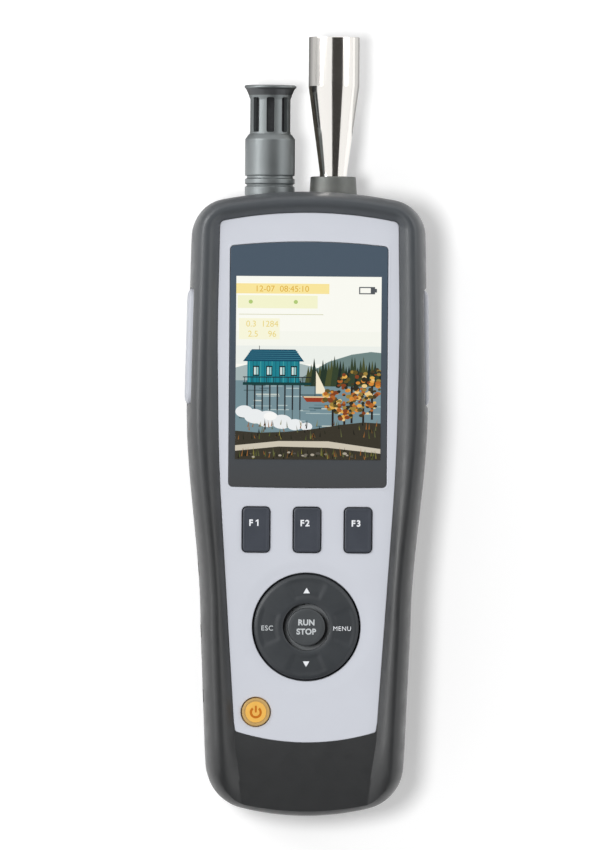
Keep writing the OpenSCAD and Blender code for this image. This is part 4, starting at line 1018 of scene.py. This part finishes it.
make_nav_ring()
make_run_key()
lettering("esc_legend", "nav_key", "ESC", -12, NAV_Y - 0.4, nav_face, 1.55, LEGEND_DIM, 1.1, 0.02)
lettering("menu_legend", "nav_key", "MENU", 11, NAV_Y - 0.4, nav_face, 1.4, LEGEND, 1.1)
triangle_mark("up_arrow", 0, NAV_Y + 11.2, 2, 1.7)
triangle_mark("down_arrow", 0, NAV_Y - 11.4, 2, -1.7)


def make_power_key():
    flange_r, flange_top, groove_r = POWER_R + FLANGE_W, FLANGE_Z + FLANGE_T, POWER_R - 1.1
    profile = softened([(0, FLANGE_Z), (flange_r, FLANGE_Z), (flange_r, flange_top), (POWER_R, flange_top),
        (POWER_R, KEY_TOP), (POWER_R - 0.75, KEY_TOP), (POWER_R - 0.85, KEY_TOP - 0.18),
        (POWER_R - 1, KEY_TOP - 0.18), (groove_r, KEY_TOP - 0.02), (0, KEY_TOP - 0.02)],
        {4: 0.4, 5: 0.08, 8: 0.08}, 5)
    bm = lathed(profile, POWER_X, y=POWER_Y, closed=False)
    key = even_piece("power_key_cap", bm, "on_off_key", "power_plastic", "power_key",
        [LOOKS["power_plastic"], POWER_RING])
    for face in key.data.polygons:
        r = hypot(face.center.x / MM - POWER_X, face.center.y / MM - FOOT - POWER_Y)
        if r > groove_r and face.center.z > (FRONT_Z - 0.5) * MM:
            face.material_index = 1


def make_power_mark():
    """The power sign: a ring that is open at the top, and a bar."""
    r, half_w, gap, steps, heights = 1.5, 0.36, radians(38), 40, (KEY_TOP - 0.05, KEY_TOP)
    arc = [RIGHT_ANGLE + gap + (TAU - 2 * gap) * k / steps for k in range(steps + 1)]
    bm = bmesh.new()
    ring = [(POWER_X + q * cos(a), POWER_Y - 0.1 + q * sin(a))
        for q, angles in ((r + half_w, arc), (r - half_w, arc[::-1])) for a in angles]
    top = lofted(bm, [at_z(ring, z) for z in heights])[1]
    for k in range(steps):
        bm.faces.new((top[k], top[k + 1], top[-2 - k], top[-1 - k]))
    lofted(bm, [at_z(pad(0.6, 2.1, 0.15, POWER_X, POWER_Y + 0.9), z) for z in heights], True, True)
    finish_mesh("power_mark", bm, "on_off_key", "power_plastic", looks=[POWER_MARK], angle=30)


make_power_key()
make_power_mark()


# ---- Sensor and inlet ----

def nut(bore_r, neck_r):
    """Start of a profile: a nut inside the body, and its neck up to the seat."""
    r = neck_r + NUT_W
    return [(bore_r, NUT_LOW), (r, NUT_LOW), (r, NUT_TOP), (neck_r, NUT_TOP), (neck_r, STEM_SEAT)]


def make_sensor_base():
    waist_r, top_r = SLEEVE_R - 0.55, SLEEVE_R - 0.6
    profile = softened(nut(BASE_BORE_R, BASE_NECK_R) + [(SLEEVE_R, STEM_SEAT), (SLEEVE_R, BODY_LEN + 1.6),
        (waist_r, BODY_LEN + 1.95), (waist_r, BODY_LEN + 2.3), (SLEEVE_R, BODY_LEN + 2.6),
        (SLEEVE_R, BODY_LEN + 4), (top_r, BODY_LEN + 4.3), (top_r, STEM_TOP), (BASE_BORE_R, STEM_TOP)],
        {6: 0.3, 7: 0.15, 8: 0.15, 9: 0.3, 10: 0.3, 11: 0.2}, 4)
    even_piece("sensor_foot", lathed(profile, SENSOR_X), "root", "dark_plastic", "sensor_base")


def make_guard():
    """Sleeve, slotted cage and flared mouth in one."""
    mouth, bore_r = BODY_LEN + GUARD_TOP, CAGE_R - CAGE_T
    sleeve_top, cage_top = BODY_LEN + SLEEVE_LEN, mouth - FLARE_LEN
    profile = softened([(bore_r, STEM_TOP), (SLEEVE_R, STEM_TOP), (SLEEVE_R, sleeve_top - 1.4),
        (CAGE_R + 0.4, sleeve_top), (CAGE_R, sleeve_top + 0.3), (CAGE_R, cage_top - 1),
        (CAGE_R + 0.4, cage_top + 0.4), (GUARD_MOUTH_R - 0.5, mouth - 1.2),
        (GUARD_MOUTH_R, mouth - 0.8), (GUARD_MOUTH_R, mouth - 0.3), (GUARD_MOUTH_R - 0.4, mouth),
        (CAGE_R - 0.2, mouth), (bore_r, mouth - 1.2)],
        {1: 0.4, 2: 0.8, 3: 0.4, 4: 0.3, 5: 1.5, 6: 1.2, 7: 0.8, 8: 0.3, 9: 0.3, 10: 0.3, 11: 0.5}, 5)
    guard = finish_mesh("sensor_cage", lathed(profile, SENSOR_X), "root", "dark_plastic", ("sensor_guard",))
    low, high = sleeve_top + 0.8, cage_top - 0.4
    slot, middle = pad(high - low, SLOT_W, 0.5, (low + high) / 2, 0, 4), Vector((SENSOR_X, 0, PARTING_Z))
    cutters = []
    for a in (TAU * k / SLOTS for k in range(SLOTS)):
        radial, across = Vector((cos(a), 0, -sin(a))), Vector((sin(a), 0, cos(a)))
        cutters.append(closed_loft([[middle + radial * depth + across * w + Vector((0, y, 0)) for y, w in slot]
            for depth in (bore_r - 1, bore_r + 4)]))
    cut(guard, *cutters)
    smooth(guard, 38)
    even_normals(guard)
    dress(guard, LOOKS["dark_plastic"], GUARD_LIP_SHADE)
    # painted shade: the flare under the lip, which faces away from the light, gets the darker look
    for face in guard.data.polygons:  # a darker band under the lip
        y = face.center.y / MM - FOOT
        r = hypot(face.center.x / MM - SENSOR_X, face.center.z / MM - PARTING_Z)
        if r > CAGE_R + 0.1 and mouth - 3.2 < y < mouth - 0.9:
            face.material_index = 1


def make_collar():
    spigot_low = STEM_TOP - SPIGOT_LEN
    profile = softened(nut(TUBE_R, COLLAR_NECK_R) + [(COLLAR_R + COLLAR_FLARE, STEM_SEAT),
        (COLLAR_R, STEM_TOP - 0.1), (SPIGOT_R, STEM_TOP), (SPIGOT_R, spigot_low), (TUBE_R, spigot_low)], {6: 0.5}, 5)
    even_piece("probe_collar", lathed(profile, INLET_X), "root", "collar_metal", "inlet_collar")


def make_probe():
    straight, inner_r = TOTAL_LEN - PROBE_MOUTH_LEN, PROBE_R - PROBE_WALL
    spigot_low, cone_low = STEM_TOP - SPIGOT_LEN, STEM_TOP + 1
    outer = [(SPIGOT_R, spigot_low), (SPIGOT_R, STEM_TOP), (PROBE_FOOT_R, STEM_TOP), (PROBE_FOOT_R, cone_low)]
    outer += [(mix(PROBE_FOOT_R, PROBE_R, t), mix(cone_low, straight, t)) for t in shares(12)[1:]]
    lip = softened([(PROBE_R, straight), (PROBE_R, TOTAL_LEN), (inner_r, TOTAL_LEN), (inner_r, straight)],
        {1: 0.25, 2: 0.25}, 4)[1:]
    bm = lathed(outer + lip + [(SPIGOT_R - 1, cone_low), (SPIGOT_R - 1, spigot_low)], INLET_X, steps=160)
    probe = finish_mesh("inlet_horn", bm, "root", "polished_steel", ("inlet_probe",), angle=40)
    for edge in probe.data.edges:  # a crisp line where the cone ends
        a, b = (probe.data.vertices[v].co for v in edge.vertices)
        if abs(a.y - b.y) < 1e-6 and abs(a.y / MM - FOOT - straight) < 0.01:
            edge.use_edge_sharp = True


make_sensor_base()
make_guard()
make_collar()
make_probe()


# ---- CAD nodes that stay ----

for part in frame["record"]["subparts"]:
    obj = NODES[part["node"]]
    for face in obj.data.polygons:
        face.material_index = 0
    dress(obj, NODE_LOOKS.get(part["node"], LOOKS[part["material_slot"]]))
    if not obj.hide_render:
        obj.modifiers.new("weld", "WELD").merge_threshold = 1e-6


# ---- Stage, light and camera ----

WHITE = (1, 1, 1, 1)
FLOOR_GLOW, AMBIENT = 0.23, 0.42  # the floor's own light to the eye; the room's light on things
MID = Vector((0, 0, 0.03))  # what the lamps are aimed at


def seen(tree):
    """1 for camera, glossy and transmission rays, and 0 for the rays that light things."""
    path = tree.nodes.new("ShaderNodeLightPath").outputs
    share = path["Is Camera Ray"]
    for ray in ("Is Glossy Ray", "Is Transmission Ray"):
        share = add_node(tree, "ShaderNodeMath", {0: share, 1: path[ray]}, operation="MAXIMUM").outputs[0]
    return share


def make_floor():
    bpy.ops.mesh.primitive_plane_add(size=8, location=(0, 0, -0.0002))
    floor = bpy.context.object
    floor.name = "floor"
    look = Look("floor_paper", (238, 238, 238), 0.9, spec=0)
    glow = add_node(look.tree, "ShaderNodeMath", {0: seen(look.tree), 1: FLOOR_GLOW}, operation="MULTIPLY")
    dress(floor, look.drive({"Emission Color": WHITE, "Emission Strength": glow.outputs[0]}))


def make_world():
    """White to the eye, and an even light of its own strength on things."""
    world = bpy.data.worlds.new("studio")
    bpy.context.scene.world = world
    world.use_nodes = True
    tree = world.node_tree
    tree.nodes.clear()
    room, white = (add_node(tree, "ShaderNodeBackground", {"Color": WHITE, "Strength": strength}).outputs[0]
        for strength in (AMBIENT, 1))
    blend = add_node(tree, "ShaderNodeMixShader", {0: seen(tree), 1: room, 2: white})
    add_node(tree, "ShaderNodeOutputWorld", {0: blend.outputs[0]})


def lamp(name, place, size, watts, mirrored=True, lights=True):
    """A round lamp; mirrored says if glossy rays see it, lights if it lights rough surfaces."""
    data = bpy.data.lights.new(name, "AREA")
    data.shape, data.size, data.energy = "DISK", size, watts
    obj = new_object(name, data)
    obj.location = place
    obj.rotation_euler = (MID - obj.location).to_track_quat("-Z", "Y").to_euler()
    obj.visible_glossy, obj.visible_diffuse = mirrored, lights


def card(name, corners, colour):
    """A dark card that only mirrors see."""
    mesh = bpy.data.meshes.new(name)
    mesh.from_pydata(corners, [], [(0, 1, 2, 3)])
    obj = new_object(name, mesh)
    obj.visible_camera = obj.visible_diffuse = obj.visible_shadow = obj.visible_transmission = False
    dress(obj, Look(name, colour, 1, spec=0))


def corners(a0, b0, a1, b1):
    return (a0, b0), (a1, b0), (a1, b1), (a0, b1)


make_floor()
make_world()
lamp("key_light", (-0.23, 0.02, 1.7), 0.24, 15, mirrored=False)
lamp("left_light", (-0.9, 0.6, 0.9), 0.6, 4)
lamp("right_light", (1.2, 0.5, 0.8), 0.8, 2.6)
lamp("left_glow", (-1.1, 0.35, 0.44), 0.7, 8, lights=False)
card("ceiling_card", [(x, y, 1.2) for x, y in corners(-0.213, -1, 0.97, 0.6)], (78, 76, 74))
card("front_card", [(x, -0.95, z) for x, z in corners(-0.7, 0, 0.7, 1.2)], (70, 68, 66))
card("guard_card", [(-0.003, y, z) for y, z in corners(0.076, 0.008, 0.1045, 0.031)], (104, 102, 96))
# grey cards that the probe mirrors, as (x, z) of two edges and a grey: on the floor, a painted shadow of the floor
# beside the guard and probe, and standing at the left, a painted grey horizon in its reflection
CARD_Z, CARD_Y0, CARD_Y1 = 0.0006, 0.088, 0.2
EDGE_CARDS = ((-0.03, CARD_Z, 0.005, CARD_Z, 130), (-0.06, CARD_Z, -0.03, CARD_Z, 165),
    (-0.35, CARD_Z, -0.06, CARD_Z, 190), (-0.351, 0, -0.35, 0.06, 200), (-0.35, 0.06, -0.35, 0.13, 218),
    (-0.35, 0.13, -0.349, 0.2, 236), (0.02, CARD_Z, 0.045, CARD_Z, 170), (0.045, CARD_Z, 0.12, CARD_Z, 212))
for index, (x0, z0, x1, z1, grey) in enumerate(EDGE_CARDS):
    card("edge_card_%d" % index, [(x0, CARD_Y0, z0), (x1, CARD_Y0, z1), (x1, CARD_Y1, z1), (x0, CARD_Y1, z0)],
        (grey, grey, grey))

CAMERA_Z, VIEW_H, FOCUS_Z, SENSOR = 4.045, 0.2615, 0.045, 24
LEAN, ROLL, SIGHT = radians(0.9), radians(0.46), Vector((0.0001, 0.0002, 0.03))
camera_data = bpy.data.cameras.new("camera")
camera_data.sensor_fit = "VERTICAL"
camera_data.sensor_height = SENSOR
camera_data.lens = SENSOR * (CAMERA_Z - FOCUS_Z) / VIEW_H
camera = new_object("camera", camera_data)
camera.matrix_world = (Matrix.Translation(SIGHT) @ Matrix.Rotation(-LEAN, 4, "Y") @ Matrix.Rotation(ROLL, 4, "Z")
    @ Matrix.Translation((0, 0, CAMERA_Z - SIGHT.z)))
bpy.context.scene.camera = camera
bpy.context.scene.view_settings.view_transform = "Standard"

bpy.context.view_layer.update()
